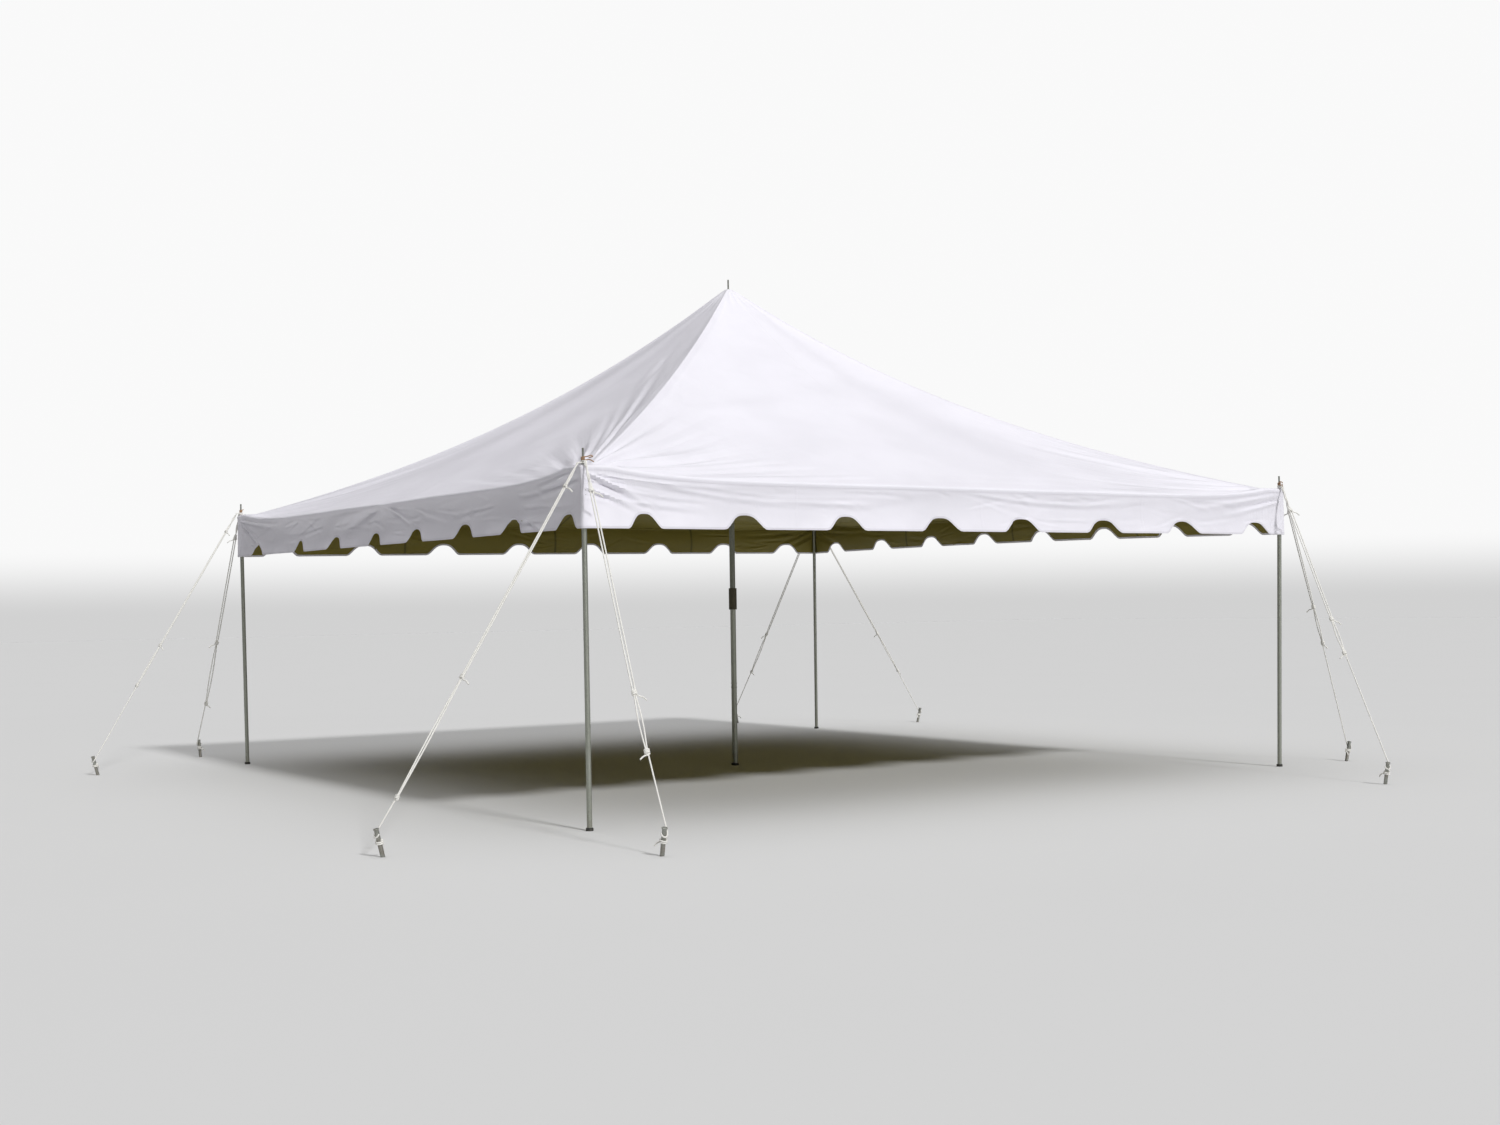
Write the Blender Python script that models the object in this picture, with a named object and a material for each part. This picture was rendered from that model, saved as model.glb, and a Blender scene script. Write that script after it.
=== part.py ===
"""Marquee tent: a square canopy on one centre pole and four corner poles.

The fabric roof hangs in a curve from the centre pole to four level corners, with a scalloped
valance below each eave. Two doubled ropes run from each corner pin to stakes in the ground.
Metres, +Z up. The origin is on the ground at the foot of the centre pole, and the front faces -Y.
"""

import math

import bmesh
import bpy
from mathutils import Matrix, Vector

# Plan and heights
POLE_GRID = 6.096
CANOPY_EDGE = POLE_GRID / 2 + 0.058
PIN_LEAN = 0.030
PEAK_HEIGHT = 3.916
CORNER_HEIGHT = 2.155

# Roof fabric
FABRIC = 0.003
SEAM_GAP = 0.0003
CROWN_HALF = 0.027
CORNER_PATCH = 0.200
EAVE_SAG = 0.065
EAVE_SAG_POWER = 8
SAG_FADE = 1.6
ROOF_ROWS = 11
ROOF_COLUMNS = 16

# Valance
NOTCH_DEPTH = 0.090
NOTCH_COUNT = 8
NOTCH_PITCH = 0.777
NOTCH_ROUND = 1.5
NOTCH_STEPS = 8

# Poles, pins and feet
CORNER_POLE_RADIUS = 0.0159
CENTRE_POLE_RADIUS = 0.0225
CAP_RADIUS = 0.023
CAP_HEIGHT = 0.018
CAP_CHAMFER = 0.003
CENTRE_CAP_RADIUS = 0.031
COLLAR_RADIUS = 0.0255
CENTRE_JOINT = 1.365
SLEEVE_RADIUS = 0.0325
SLEEVE_LENGTH = 0.175
PIN_RADIUS = 0.00635
CORNER_PIN = 0.100
PEAK_PIN = 0.085
PIN_TIP = 0.002
PATCH = 0.004
FIT_GAP = 0.0003

# Guy ropes and stakes
ROPE_RADIUS = 0.00475
ROPE_EDGE_CLEAR = 0.010
STRAND_HALF = 0.0065
KNOT_RADIUS = 0.0125
KNOT_LENGTH = 0.021
KNOT_RUN_IN = 0.100
LOOP_BULGE = 0.012
TAIL_LENGTH = 0.065
TAIL_SLOPE = 0.17
TAIL_DROP = 0.012
EYE_STEPS = 6
STAKE_RADIUS = 0.0127
STAKE_HEAD_RADIUS = 0.0165
STAKE_HEAD = 0.008
STAKE_HEAD_SHOULDER = 0.003
STAKE_HEAD_CHAMFER = 0.003
STAKE_HEAD_ROUND = 0.002
STAKE_OUT = 0.160
STAKE_BELOW = 0.050
STAKE_LEAN = math.radians(15.0)
LOOP_HEIGHT = 0.100

SIDES = ("front", "right", "back", "left")
CORNERS = {
    "front_right": (1, -1),
    "back_right": (1, 1),
    "back_left": (-1, 1),
    "front_left": (-1, -1),
}

# How deep each hip hangs (0 is a straight line), how low the valance reaches at each corner and
# how much higher each side's edge is at its middle than on a line between its corners
HIP_CURVES = {"front_right": 1.15, "back_right": 1.15, "back_left": 1.15, "front_left": 0.55}
VALANCE_LOWS = {"front_right": 1.800, "back_right": 1.845, "back_left": 1.795, "front_left": 1.780}
VALANCE_BOWS = {"front": 0.0, "right": 0.025, "back": 0.008, "left": 0.0}

# Centre and half width of each scallop of the two near sides, which are set unevenly, and the
# half width of the others
NEAR_NOTCHES = {
    "front": ((-2.68, 0.120), (-1.945, 0.155), (-1.165, 0.160), (-0.36, 0.175),
              (0.36, 0.170), (1.16, 0.185), (1.965, 0.180), (2.77, 0.170)),
    "left": ((2.92, 0.143), (2.21, 0.155), (1.485, 0.155), (0.715, 0.155),
             (-0.04, 0.140), (-0.81, 0.145), (-1.59, 0.130), (-2.56, 0.145)),
}
FAR_NOTCH_HALF = 0.165

# Each rope: corner, the side it is pegged towards, stake offset from the pole's foot, and
# how far down the rope its two knots sit
ROPES = (
    ("front_left", "left", (-1.40, -0.26), 0.60, 0.91),
    ("front_left", "front", (-0.23, -1.20), 0.60, 0.74),
    ("front_right", "front", (-0.54, -1.37), 0.50, 0.62),
    ("front_right", "right", (0.74, -0.05), 0.46, 0.60),
    ("back_right", "right", (1.37, 0.00), 0.58, 0.78),
    ("back_right", "back", (-0.10, 1.35), 0.58, 0.78),
    ("back_left", "back", (-0.08, 1.06), 0.55, 0.82),
    ("back_left", "left", (-1.30, -0.16), 0.55, 0.71),
)

# Colour, roughness and metallic value of each finish
FINISHES = {
    "canopy_fabric": ((0.84, 0.83, 0.86, 1.0), 0.45, 0.0),
    "patch_fabric": ((0.78, 0.77, 0.79, 1.0), 0.50, 0.0),
    "galvanised_tube": ((0.50, 0.51, 0.49, 1.0), 0.38, 1.0),
    "pin_steel": ((0.42, 0.43, 0.43, 1.0), 0.35, 1.0),
    "sleeve_paint": ((0.09, 0.08, 0.05, 1.0), 0.55, 0.0),
    "cap_rubber": ((0.06, 0.06, 0.055, 1.0), 0.70, 0.0),
    "rope": ((0.80, 0.79, 0.75, 1.0), 0.80, 0.0),
    "stake_steel": ((0.30, 0.29, 0.27, 1.0), 0.50, 1.0),
}


def clear_scene():
    """Remove every object that the file started with."""
    for obj in list(bpy.data.objects):
        bpy.data.objects.remove(obj, do_unlink=True)


def finish_material(node, finish):
    """Make the node's own Principled material from a named finish."""
    colour, roughness, metallic = FINISHES[finish]
    material = bpy.data.materials.new(node + "_" + finish)
    material.use_nodes = True
    shader = material.node_tree.nodes["Principled BSDF"]
    shader.inputs["Base Color"].default_value = colour
    shader.inputs["Roughness"].default_value = roughness
    shader.inputs["Metallic"].default_value = metallic
    material.diffuse_color = colour
    return material


def add_node(name, bm, finish, rotation=0.0, smooth_angle=35.0):
    """Turn a bmesh into a named object with its material, turned about the centre pole."""
    bmesh.ops.recalc_face_normals(bm, faces=bm.faces)
    mesh = bpy.data.meshes.new(name)
    bm.to_mesh(mesh)
    bm.free()
    mesh.shade_smooth()
    mesh.set_sharp_from_angle(angle=math.radians(smooth_angle))
    obj = bpy.data.objects.new(name, mesh)
    obj.rotation_euler = (0.0, 0.0, rotation)
    obj.data.materials.append(finish_material(name, finish))
    bpy.context.scene.collection.objects.link(obj)
    return obj


def side_corners(side):
    """The corners at the two ends of a side: first the one at -x where the side is the front."""
    names = list(CORNERS)
    turn = SIDES.index(side)
    return names[turn - 1], names[turn]


def hip_height(corner, ring):
    """Height of a hip at a ring, from 0 at the crown's edge to 1 at the corner patch."""
    curve = HIP_CURVES[corner]
    end = math.exp(-curve)
    fall = (math.exp(-curve * min(ring, 1.0)) - end) / (1.0 - end)
    return CORNER_HEIGHT + (PEAK_HEIGHT - CORNER_HEIGHT) * fall


def roof_height(side, x, depth):
    """Height of a roof panel's outer face at x, with depth measured out from the pole."""
    start, end = side_corners(side)
    patch_ring = CANOPY_EDGE - CORNER_PATCH / 2
    ring = (depth - CROWN_HALF) / (patch_ring - CROWN_HALF)
    share = 0.5 + 0.5 * max(-1.0, min(1.0, x / depth))
    height = hip_height(start, ring) * (1.0 - share) + hip_height(end, ring) * share
    reach = (CANOPY_EDGE - CORNER_PATCH) / CANOPY_EDGE
    across = min(1.0, abs(x) / depth / reach)
    sag = EAVE_SAG * min(1.0, depth / CANOPY_EDGE) ** SAG_FADE * (1.0 - across ** EAVE_SAG_POWER)
    return height - sag


def half_width(depth):
    """Half the width of a roof panel: out to the hip, then in again along the corner patch."""
    patch_ring = CANOPY_EDGE - CORNER_PATCH / 2
    return min(depth, 2.0 * patch_ring - depth) - SEAM_GAP


def roof_depths():
    """Distances out from the pole at which the roof panel has a row of points."""
    patch_ring = CANOPY_EDGE - CORNER_PATCH / 2
    edge = CANOPY_EDGE - FABRIC - FIT_GAP
    rows = [CROWN_HALF + (patch_ring - CROWN_HALF) * (i / ROOF_ROWS) for i in range(ROOF_ROWS + 1)]
    return rows + [edge]


def build_roof():
    """Four fabric panels, each from the crown patch down to its eave, parted at the hips."""
    steps = [-math.cos(math.pi * i / ROOF_COLUMNS) for i in range(ROOF_COLUMNS + 1)]
    for turn, side in enumerate(SIDES):
        bm = bmesh.new()
        rows = []
        for depth in roof_depths():
            wide = half_width(depth)
            rows.append([bm.verts.new((u * wide, -depth, roof_height(side, u * wide, depth)))
                         for u in steps])
        for upper, lower in zip(rows, rows[1:]):
            for i in range(ROOF_COLUMNS):
                bm.faces.new((upper[i], lower[i], lower[i + 1], upper[i + 1]))
        thicken(bm, (0.0, 0.0, -FABRIC))
        add_node("roof_" + side, bm, "canopy_fabric", turn * math.pi / 2)


def thicken(bm, offset):
    """Give an open sheet its thickness by extruding it along one direction."""
    made = bmesh.ops.extrude_face_region(bm, geom=list(bm.faces), use_keep_orig=True)
    moved = [item for item in made["geom"] if isinstance(item, bmesh.types.BMVert)]
    bmesh.ops.translate(bm, vec=Vector(offset), verts=moved)


def notches(side):
    """Centre and half width of each scallop along a side."""
    if side in NEAR_NOTCHES:
        return NEAR_NOTCHES[side]
    first = NOTCH_PITCH * (NOTCH_COUNT - 1) / 2
    return [(NOTCH_PITCH * i - first, FAR_NOTCH_HALF) for i in range(NOTCH_COUNT)]


def valance_bottom(side, x):
    """Height of a valance's lower edge: level tabs with a round-topped notch between them."""
    start, end = side_corners(side)
    share = 0.5 + 0.5 * x / CANOPY_EDGE
    low = VALANCE_LOWS[start] * (1.0 - share) + VALANCE_LOWS[end] * share
    low += VALANCE_BOWS[side] * (1.0 - (x / CANOPY_EDGE) ** 2)
    away = min(1.0, min(abs(x - centre) / half for centre, half in notches(side)))
    return low + NOTCH_DEPTH * (0.5 + 0.5 * math.cos(math.pi * away ** NOTCH_ROUND))


def valance_stations(side, start, end):
    """Distances along a side at which the valance has a column of points."""
    stations = [start, end]
    for centre, half in notches(side):
        for i in range(NOTCH_STEPS + 1):
            stations.append(centre - half + 2.0 * half * i / NOTCH_STEPS)
    return sorted(stations)


def build_valances():
    """Four scalloped strips hanging from the eaves, meeting corner to corner."""
    start = -CANOPY_EDGE + FABRIC + FIT_GAP
    for turn, side in enumerate(SIDES):
        bm = bmesh.new()
        columns = []
        for x in valance_stations(side, start, CANOPY_EDGE):
            low = bm.verts.new((x, -CANOPY_EDGE, valance_bottom(side, x)))
            high = bm.verts.new((x, -CANOPY_EDGE, roof_height(side, x, CANOPY_EDGE)))
            columns.append((low, high))
        for a, b in zip(columns, columns[1:]):
            bm.faces.new((a[0], b[0], b[1], a[1]))
        thicken(bm, (0.0, FABRIC, 0.0))
        add_node("valance_" + side, bm, "canopy_fabric", turn * math.pi / 2)


def circle_points(centre, radius, count):
    """Points round a circle in plan."""
    turns = [2.0 * math.pi * i / count for i in range(count)]
    return [(centre[0] + radius * math.cos(a), centre[1] + radius * math.sin(a)) for a in turns]


def plate_with_hole(outline, hole, top, thickness):
    """A flat plate with a hole through it, from its outline and the hole's points in plan."""
    bm = bmesh.new()
    edges = []
    for loop in (outline, hole):
        verts = [bm.verts.new((x, y, top)) for x, y in loop]
        edges += [bm.edges.new((verts[i - 1], verts[i])) for i in range(len(verts))]
    bmesh.ops.triangle_fill(bm, edges=edges, use_beauty=True)
    thicken(bm, (0.0, 0.0, -thickness))
    return bm


def build_patches():
    """The doubled fabric triangle at each corner, with the hole for the pole's pin."""
    edge = CANOPY_EDGE - FABRIC - FIT_GAP
    inner = 2.0 * CANOPY_EDGE - CORNER_PATCH - edge + SEAM_GAP
    pin = POLE_GRID / 2 + PIN_LEAN
    for turn, corner in enumerate(CORNERS):
        outline = [(edge, -edge), (edge, -inner), (inner, -edge)]
        hole = circle_points((pin, -pin), PIN_RADIUS + 2.0 * FIT_GAP, 16)
        bm = plate_with_hole(outline, hole, CORNER_HEIGHT, PATCH)
        add_node("corner_patch_" + corner, bm, "patch_fabric", turn * math.pi / 2)


def round_bar(radius, low, high, segments, chamfer=0.0):
    """An upright round bar between two heights, with its top edge chamfered if asked."""
    bm = bmesh.new()
    place = Matrix.Translation((0.0, 0.0, (low + high) / 2))
    bmesh.ops.create_cone(bm, cap_ends=True, segments=segments, radius1=radius, radius2=radius,
                          depth=high - low, matrix=place)
    if chamfer:
        rim = [e for e in bm.edges if all(v.co.z > high - 1e-6 for v in e.verts)]
        bmesh.ops.bevel(bm, geom=rim, offset=chamfer, segments=1, affect="EDGES")
    return bm


def turned(profile, segments):
    """A solid of revolution about the upright axis, from its radius and height points."""
    bm = bmesh.new()
    verts = [bm.verts.new((radius, 0.0, height)) for radius, height in profile]
    edges = [bm.edges.new(pair) for pair in zip(verts, verts[1:])]
    bmesh.ops.spin(bm, geom=verts + edges, axis=(0.0, 0.0, 1.0), cent=(0.0, 0.0, 0.0),
                   steps=segments, angle=2.0 * math.pi, use_merge=True)
    bmesh.ops.remove_doubles(bm, verts=bm.verts, dist=0.00005)
    return bm


def lean_outward(bm, foot, slope):
    """Shear an upright bar so that it stands on its foot and leans by slope for each metre."""
    for vert in bm.verts:
        vert.co.x += foot[0] + slope[0] * vert.co.z
        vert.co.y += foot[1] + slope[1] * vert.co.z


def build_corner_poles():
    """Four leaning tubes with their foot caps and the pins that go up through the canopy."""
    foot = POLE_GRID / 2
    top = CORNER_HEIGHT - PATCH - FIT_GAP
    slope = PIN_LEAN / top
    for turn, corner in enumerate(CORNERS):
        angle = turn * math.pi / 2
        bm = round_bar(CORNER_POLE_RADIUS, CAP_HEIGHT + FIT_GAP, top, 24)
        lean_outward(bm, (foot, -foot), (slope, -slope))
        add_node("corner_pole_" + corner, bm, "galvanised_tube", angle)

        bm = round_bar(CAP_RADIUS, 0.0, CAP_HEIGHT, 24, chamfer=CAP_CHAMFER)
        lean_outward(bm, (foot, -foot), (0.0, 0.0))
        add_node("foot_cap_" + corner, bm, "cap_rubber", angle)

        pin = foot + PIN_LEAN
        bm = round_bar(PIN_RADIUS, top + FIT_GAP, CORNER_HEIGHT + CORNER_PIN, 16, chamfer=PIN_TIP)
        lean_outward(bm, (pin, -pin), (0.0, 0.0))
        add_node("corner_pin_" + corner, bm, "pin_steel", angle)


def build_centre_pole():
    """The centre pole in two lengths, with the sleeve over their joint, a foot cap and a pin."""
    top = PEAK_HEIGHT - PATCH - FIT_GAP
    cap = round_bar(CENTRE_CAP_RADIUS, 0.0, CAP_HEIGHT, 32, chamfer=CAP_CHAMFER)
    add_node("foot_cap_centre", cap, "cap_rubber")

    lower = round_bar(CENTRE_POLE_RADIUS, CAP_HEIGHT + FIT_GAP, CENTRE_JOINT, 32)
    add_node("centre_pole_lower", lower, "galvanised_tube")
    upper = round_bar(CENTRE_POLE_RADIUS, CENTRE_JOINT + FIT_GAP, top, 32)
    add_node("centre_pole_upper", upper, "galvanised_tube")

    tip = PEAK_HEIGHT + PEAK_PIN
    profile = ((0.0, top + FIT_GAP), (COLLAR_RADIUS, top + FIT_GAP), (COLLAR_RADIUS, PEAK_HEIGHT),
               (PIN_RADIUS, PEAK_HEIGHT), (PIN_RADIUS, tip - PIN_TIP), (PIN_RADIUS - PIN_TIP, tip),
               (0.0, tip))
    add_node("centre_pin", turned(profile, 16), "pin_steel")

    low = CENTRE_JOINT - SLEEVE_LENGTH / 2
    high = CENTRE_JOINT + SLEEVE_LENGTH / 2
    inner = CENTRE_POLE_RADIUS + FIT_GAP
    profile = ((inner, low), (SLEEVE_RADIUS, low), (SLEEVE_RADIUS, high), (inner, high), (inner, low))
    add_node("centre_pole_sleeve", turned(profile, 32), "sleeve_paint")


def pin_place(corner):
    """The point on the ground straight below a corner's pin."""
    reach = POLE_GRID / 2 + PIN_LEAN
    return Vector((CORNERS[corner][0] * reach, CORNERS[corner][1] * reach, 0.0))


def stake_frame(corner, offset):
    """Foot of a stake, its outward direction in plan, and its axis."""
    foot = POLE_GRID / 2
    sign = CORNERS[corner]
    base = Vector((sign[0] * foot + offset[0], sign[1] * foot + offset[1], 0.0))
    outward = (base - pin_place(corner)).normalized()
    axis = outward * math.sin(STAKE_LEAN) + Vector((0.0, 0.0, math.cos(STAKE_LEAN)))
    return base, outward, axis


def build_stake(corner, side, offset):
    """The part of a steel stake above the ground, with its head, leaning away from the tent."""
    base, outward, axis = stake_frame(corner, offset)
    under = STAKE_OUT - STAKE_HEAD
    profile = ((0.0, -STAKE_BELOW), (STAKE_RADIUS, -STAKE_BELOW), (STAKE_RADIUS, under),
               (STAKE_HEAD_RADIUS, under + STAKE_HEAD_SHOULDER),
               (STAKE_HEAD_RADIUS, STAKE_OUT - STAKE_HEAD_ROUND),
               (STAKE_HEAD_RADIUS - STAKE_HEAD_CHAMFER, STAKE_OUT), (0.0, STAKE_OUT))
    bm = turned(profile, 16)
    across = Vector((-outward.y, outward.x, 0.0))
    frame = Matrix((axis.cross(across) * -1.0, across, axis)).transposed().to_4x4()
    bmesh.ops.transform(bm, matrix=Matrix.Translation(base) @ frame, verts=bm.verts)
    cut = bmesh.ops.bisect_plane(bm, geom=list(bm.verts) + list(bm.edges) + list(bm.faces),
                                 plane_co=(0.0, 0.0, 0.0), plane_no=(0.0, 0.0, 1.0), clear_inner=True)
    rim = [item for item in cut["geom_cut"] if isinstance(item, bmesh.types.BMEdge)]
    bmesh.ops.contextual_create(bm, geom=rim)
    return add_node("stake_%s_%s" % (corner, side), bm, "stake_steel")


def rope_tube(name, points):
    """A closed length of rope along a list of points."""
    curve = bpy.data.curves.new(name, "CURVE")
    curve.dimensions = "3D"
    curve.bevel_depth = ROPE_RADIUS
    curve.bevel_resolution = 1
    curve.use_fill_caps = True
    spline = curve.splines.new("POLY")
    spline.points.add(len(points) - 1)
    for point, place in zip(spline.points, points):
        point.co = (*place, 1.0)
    obj = bpy.data.objects.new(name, curve)
    bpy.context.scene.collection.objects.link(obj)
    return obj


def knot(name, centre, along):
    """A rope knot: a rounded lump, longer along the rope than across it."""
    bm = bmesh.new()
    bmesh.ops.create_uvsphere(bm, u_segments=10, v_segments=7, radius=1.0)
    stretch = Matrix.Diagonal((KNOT_RADIUS, KNOT_RADIUS, KNOT_LENGTH, 1.0))
    turn = along.to_track_quat("Z", "Y").to_matrix().to_4x4()
    bmesh.ops.transform(bm, matrix=Matrix.Translation(centre) @ turn @ stretch, verts=bm.verts)
    bmesh.ops.recalc_face_normals(bm, faces=bm.faces)
    mesh = bpy.data.meshes.new(name)
    bm.to_mesh(mesh)
    bm.free()
    obj = bpy.data.objects.new(name, mesh)
    bpy.context.scene.collection.objects.link(obj)
    return obj


def as_mesh(obj):
    """Replace an object's curve by the mesh that it makes."""
    depsgraph = bpy.context.evaluated_depsgraph_get()
    return bpy.data.meshes.new_from_object(obj.evaluated_get(depsgraph))


def build_rope(corner, side, offset, knot_a, knot_b, layer):
    """One doubled guy rope: over the corner pin, down through two knots and round its stake."""
    pin = pin_place(corner)
    base, outward, axis = stake_frame(corner, offset)
    across = Vector((-outward.y, outward.x, 0.0))
    up = Vector((0.0, 0.0, 1.0))

    # Over the pin and the canopy's edge
    level = CORNER_HEIGHT + ROPE_RADIUS + FIT_GAP + layer * (2.0 * ROPE_RADIUS + 2.0 * FIT_GAP)
    eye = PIN_RADIUS + ROPE_RADIUS + 2.0 * FIT_GAP
    seat = pin + up * level
    reach = min((CANOPY_EDGE - abs(p)) / (d * math.copysign(1.0, p))
                for p, d in zip(pin.xy, outward.xy) if d * p > 0.0)
    bend = seat + outward * (reach + ROPE_EDGE_CLEAR)

    # Down to the stake
    target = base + axis * (LOOP_HEIGHT / math.cos(STAKE_LEAN))
    fall = (target - bend).normalized()
    length = (target - bend).length
    first = bend + fall * (length * knot_a)
    second = bend + fall * (length * knot_b)

    upper = [first + across * STRAND_HALF]
    upper += [first - fall * KNOT_RUN_IN + across * STRAND_HALF, bend + across * STRAND_HALF]
    upper += [seat + (across * math.cos(a) - outward * math.sin(a)) * eye
              for a in [math.pi * i / EYE_STEPS for i in range(EYE_STEPS + 1)]]
    upper += [bend - across * STRAND_HALF, first - fall * KNOT_RUN_IN - across * STRAND_HALF]
    upper += [first - across * STRAND_HALF]

    side_gap = STAKE_RADIUS + ROPE_RADIUS + 3.0 * FIT_GAP
    far_gap = side_gap / math.sin(fall.angle(axis))
    middle = (first + second) / 2
    lower = [first + across * STRAND_HALF, middle + across * LOOP_BULGE, second + across * STRAND_HALF]
    lower += [target + across * (side_gap * math.cos(a)) + fall * (far_gap * math.sin(a))
              for a in [math.pi * i / EYE_STEPS for i in range(EYE_STEPS + 1)]]
    lower += [second - across * STRAND_HALF, middle - across * LOOP_BULGE, first - across * STRAND_HALF]

    tail_way = (across - up * TAIL_SLOPE).normalized()
    tail = [first, first + tail_way * (TAIL_LENGTH / 2),
            first + tail_way * TAIL_LENGTH - up * TAIL_DROP]

    name = "guy_rope_%s_%s" % (corner, side)
    pieces = [rope_tube(name + "_lower", lower), knot(name + "_knot_a", first, fall),
              knot(name + "_knot_b", second, fall), rope_tube(name + "_tail", tail)]
    start = rope_tube(name + "_start", upper)
    body = bpy.data.objects.new(name, as_mesh(start))
    bpy.data.objects.remove(start, do_unlink=True)
    bpy.context.scene.collection.objects.link(body)
    body.data.materials.append(finish_material(name, "rope"))
    for piece in pieces:
        if piece.type == "CURVE":
            solid = bpy.data.objects.new(piece.name + "_solid", as_mesh(piece))
            bpy.context.scene.collection.objects.link(solid)
            bpy.data.objects.remove(piece, do_unlink=True)
            piece = solid
        piece.hide_render = True
        piece.display_type = "WIRE"
        union = body.modifiers.new("join_" + piece.name, "BOOLEAN")
        union.operation = "UNION"
        union.solver = "EXACT"
        union.object = piece


def main():
    clear_scene()
    build_roof()
    build_valances()
    build_patches()
    build_corner_poles()
    build_centre_pole()
    used = []
    for corner, side, offset, knot_a, knot_b in ROPES:
        build_stake(corner, side, offset)
        build_rope(corner, side, offset, knot_a, knot_b, used.count(corner))
        used.append(corner)


main()
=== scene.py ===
import math
import random

import bmesh
import bpy
import numpy as np
from mathutils import Matrix, Quaternion, Vector


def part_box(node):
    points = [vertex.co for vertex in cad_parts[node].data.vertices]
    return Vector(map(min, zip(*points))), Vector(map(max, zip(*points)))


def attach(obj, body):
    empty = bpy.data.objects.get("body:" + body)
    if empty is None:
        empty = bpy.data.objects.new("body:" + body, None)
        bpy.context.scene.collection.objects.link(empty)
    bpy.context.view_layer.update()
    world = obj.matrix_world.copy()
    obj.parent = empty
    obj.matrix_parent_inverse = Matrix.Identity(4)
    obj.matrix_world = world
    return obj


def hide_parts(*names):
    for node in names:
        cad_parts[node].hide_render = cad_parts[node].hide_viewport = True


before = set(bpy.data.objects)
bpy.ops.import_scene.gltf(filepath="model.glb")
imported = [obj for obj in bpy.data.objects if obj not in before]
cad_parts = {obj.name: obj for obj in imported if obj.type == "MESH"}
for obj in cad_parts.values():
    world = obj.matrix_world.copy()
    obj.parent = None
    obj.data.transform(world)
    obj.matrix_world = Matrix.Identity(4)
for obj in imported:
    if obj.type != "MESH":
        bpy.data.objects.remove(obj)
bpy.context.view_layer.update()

bl_info = {
    "name": "Marquee Tent",
    "version": (1, 0, 0),
    "blender": (4, 5, 0),
    "location": "View3D > Sidebar > Tent",
    "description": "Dresses the frame of a pole tent with its canopy, poles, guy ropes and stakes",
    "category": "Add Mesh",
}

BODY = "root"
SIDES = ("front", "right", "back", "left")
CORNERS = ("front_right", "back_right", "back_left", "front_left")

# Places read from the frame
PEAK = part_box("roof_front")[1].z
CORNER_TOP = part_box("corner_patch_front_left")[1].z
EDGE = -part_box("valance_front")[0].y
PIN_AT = {c: sum(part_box("corner_pin_" + c), Vector()) / 2 for c in CORNERS}
PIN_REACH = abs(PIN_AT["front_right"].x)
PIN_RADIUS = (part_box("corner_pin_front_left")[1].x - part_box("corner_pin_front_left")[0].x) / 2

# The canopy's curve, as it is in the frame
CROWN_HALF = 0.027
CORNER_PATCH = 0.200
HIP_CURVES = {"front_right": 1.15, "back_right": 1.15, "back_left": 1.15, "front_left": 0.55}
EAVE_SAG = 0.065
EAVE_SAG_POWER = 8
SAG_FADE = 1.6
EAVE_ROLL = 0.017
COLLAR_CLEAR = 0.0020

# Scallops, as they are in the frame: how low the valance reaches, how much higher its middle is,
# and the centre and half width of each scallop of the two near sides
VALANCE_LOWS = {"front_right": 1.800, "back_right": 1.845, "back_left": 1.795, "front_left": 1.780}
VALANCE_BOWS = {"front": 0.0, "right": 0.025, "back": 0.008, "left": 0.0}
NOTCH_COUNT = 8
NOTCH_PITCH = 0.777
NOTCH_DEPTH = 0.090
NOTCH_ROUND = 1.5
NEAR_NOTCHES = {
    "front": ((-2.68, 0.120), (-1.945, 0.155), (-1.165, 0.160), (-0.36, 0.175),
              (0.36, 0.170), (1.16, 0.185), (1.965, 0.180), (2.77, 0.170)),
    "left": ((2.92, 0.143), (2.21, 0.155), (1.485, 0.155), (0.715, 0.155),
             (-0.04, 0.140), (-0.81, 0.145), (-1.59, 0.130), (-2.56, 0.145)),
}
FAR_NOTCH_HALF = 0.165

# The cloth's grid: rings from the crown outwards as (start, end, count, columns merged), and
# columns from the corners inwards as (length, spacing)
ROOF_BANDS = ((0.25, 0.97, 14, 4), (0.97, 1.90, 18, 2), (1.90, 2.68, 26, 2), (2.68, None, 24, 1))
ROOF_COLUMNS = ((0.60, 0.0125), (0.45, 0.030))
ROOF_MIDDLE = 0.064
VALANCE_COLUMNS = ((0.45, 0.010), (0.40, 0.018))
VALANCE_MIDDLE = 0.0225
CROWN_START = 0.0085
CROWN_RINGS = 14
EAVE_STEPS = 5
LAP_STEPS = 1
VALANCE_ROWS = 34
CORNER_STEPS = 4
RAY_COUNT = 9
CRINKLE_COUNT = 44

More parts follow.
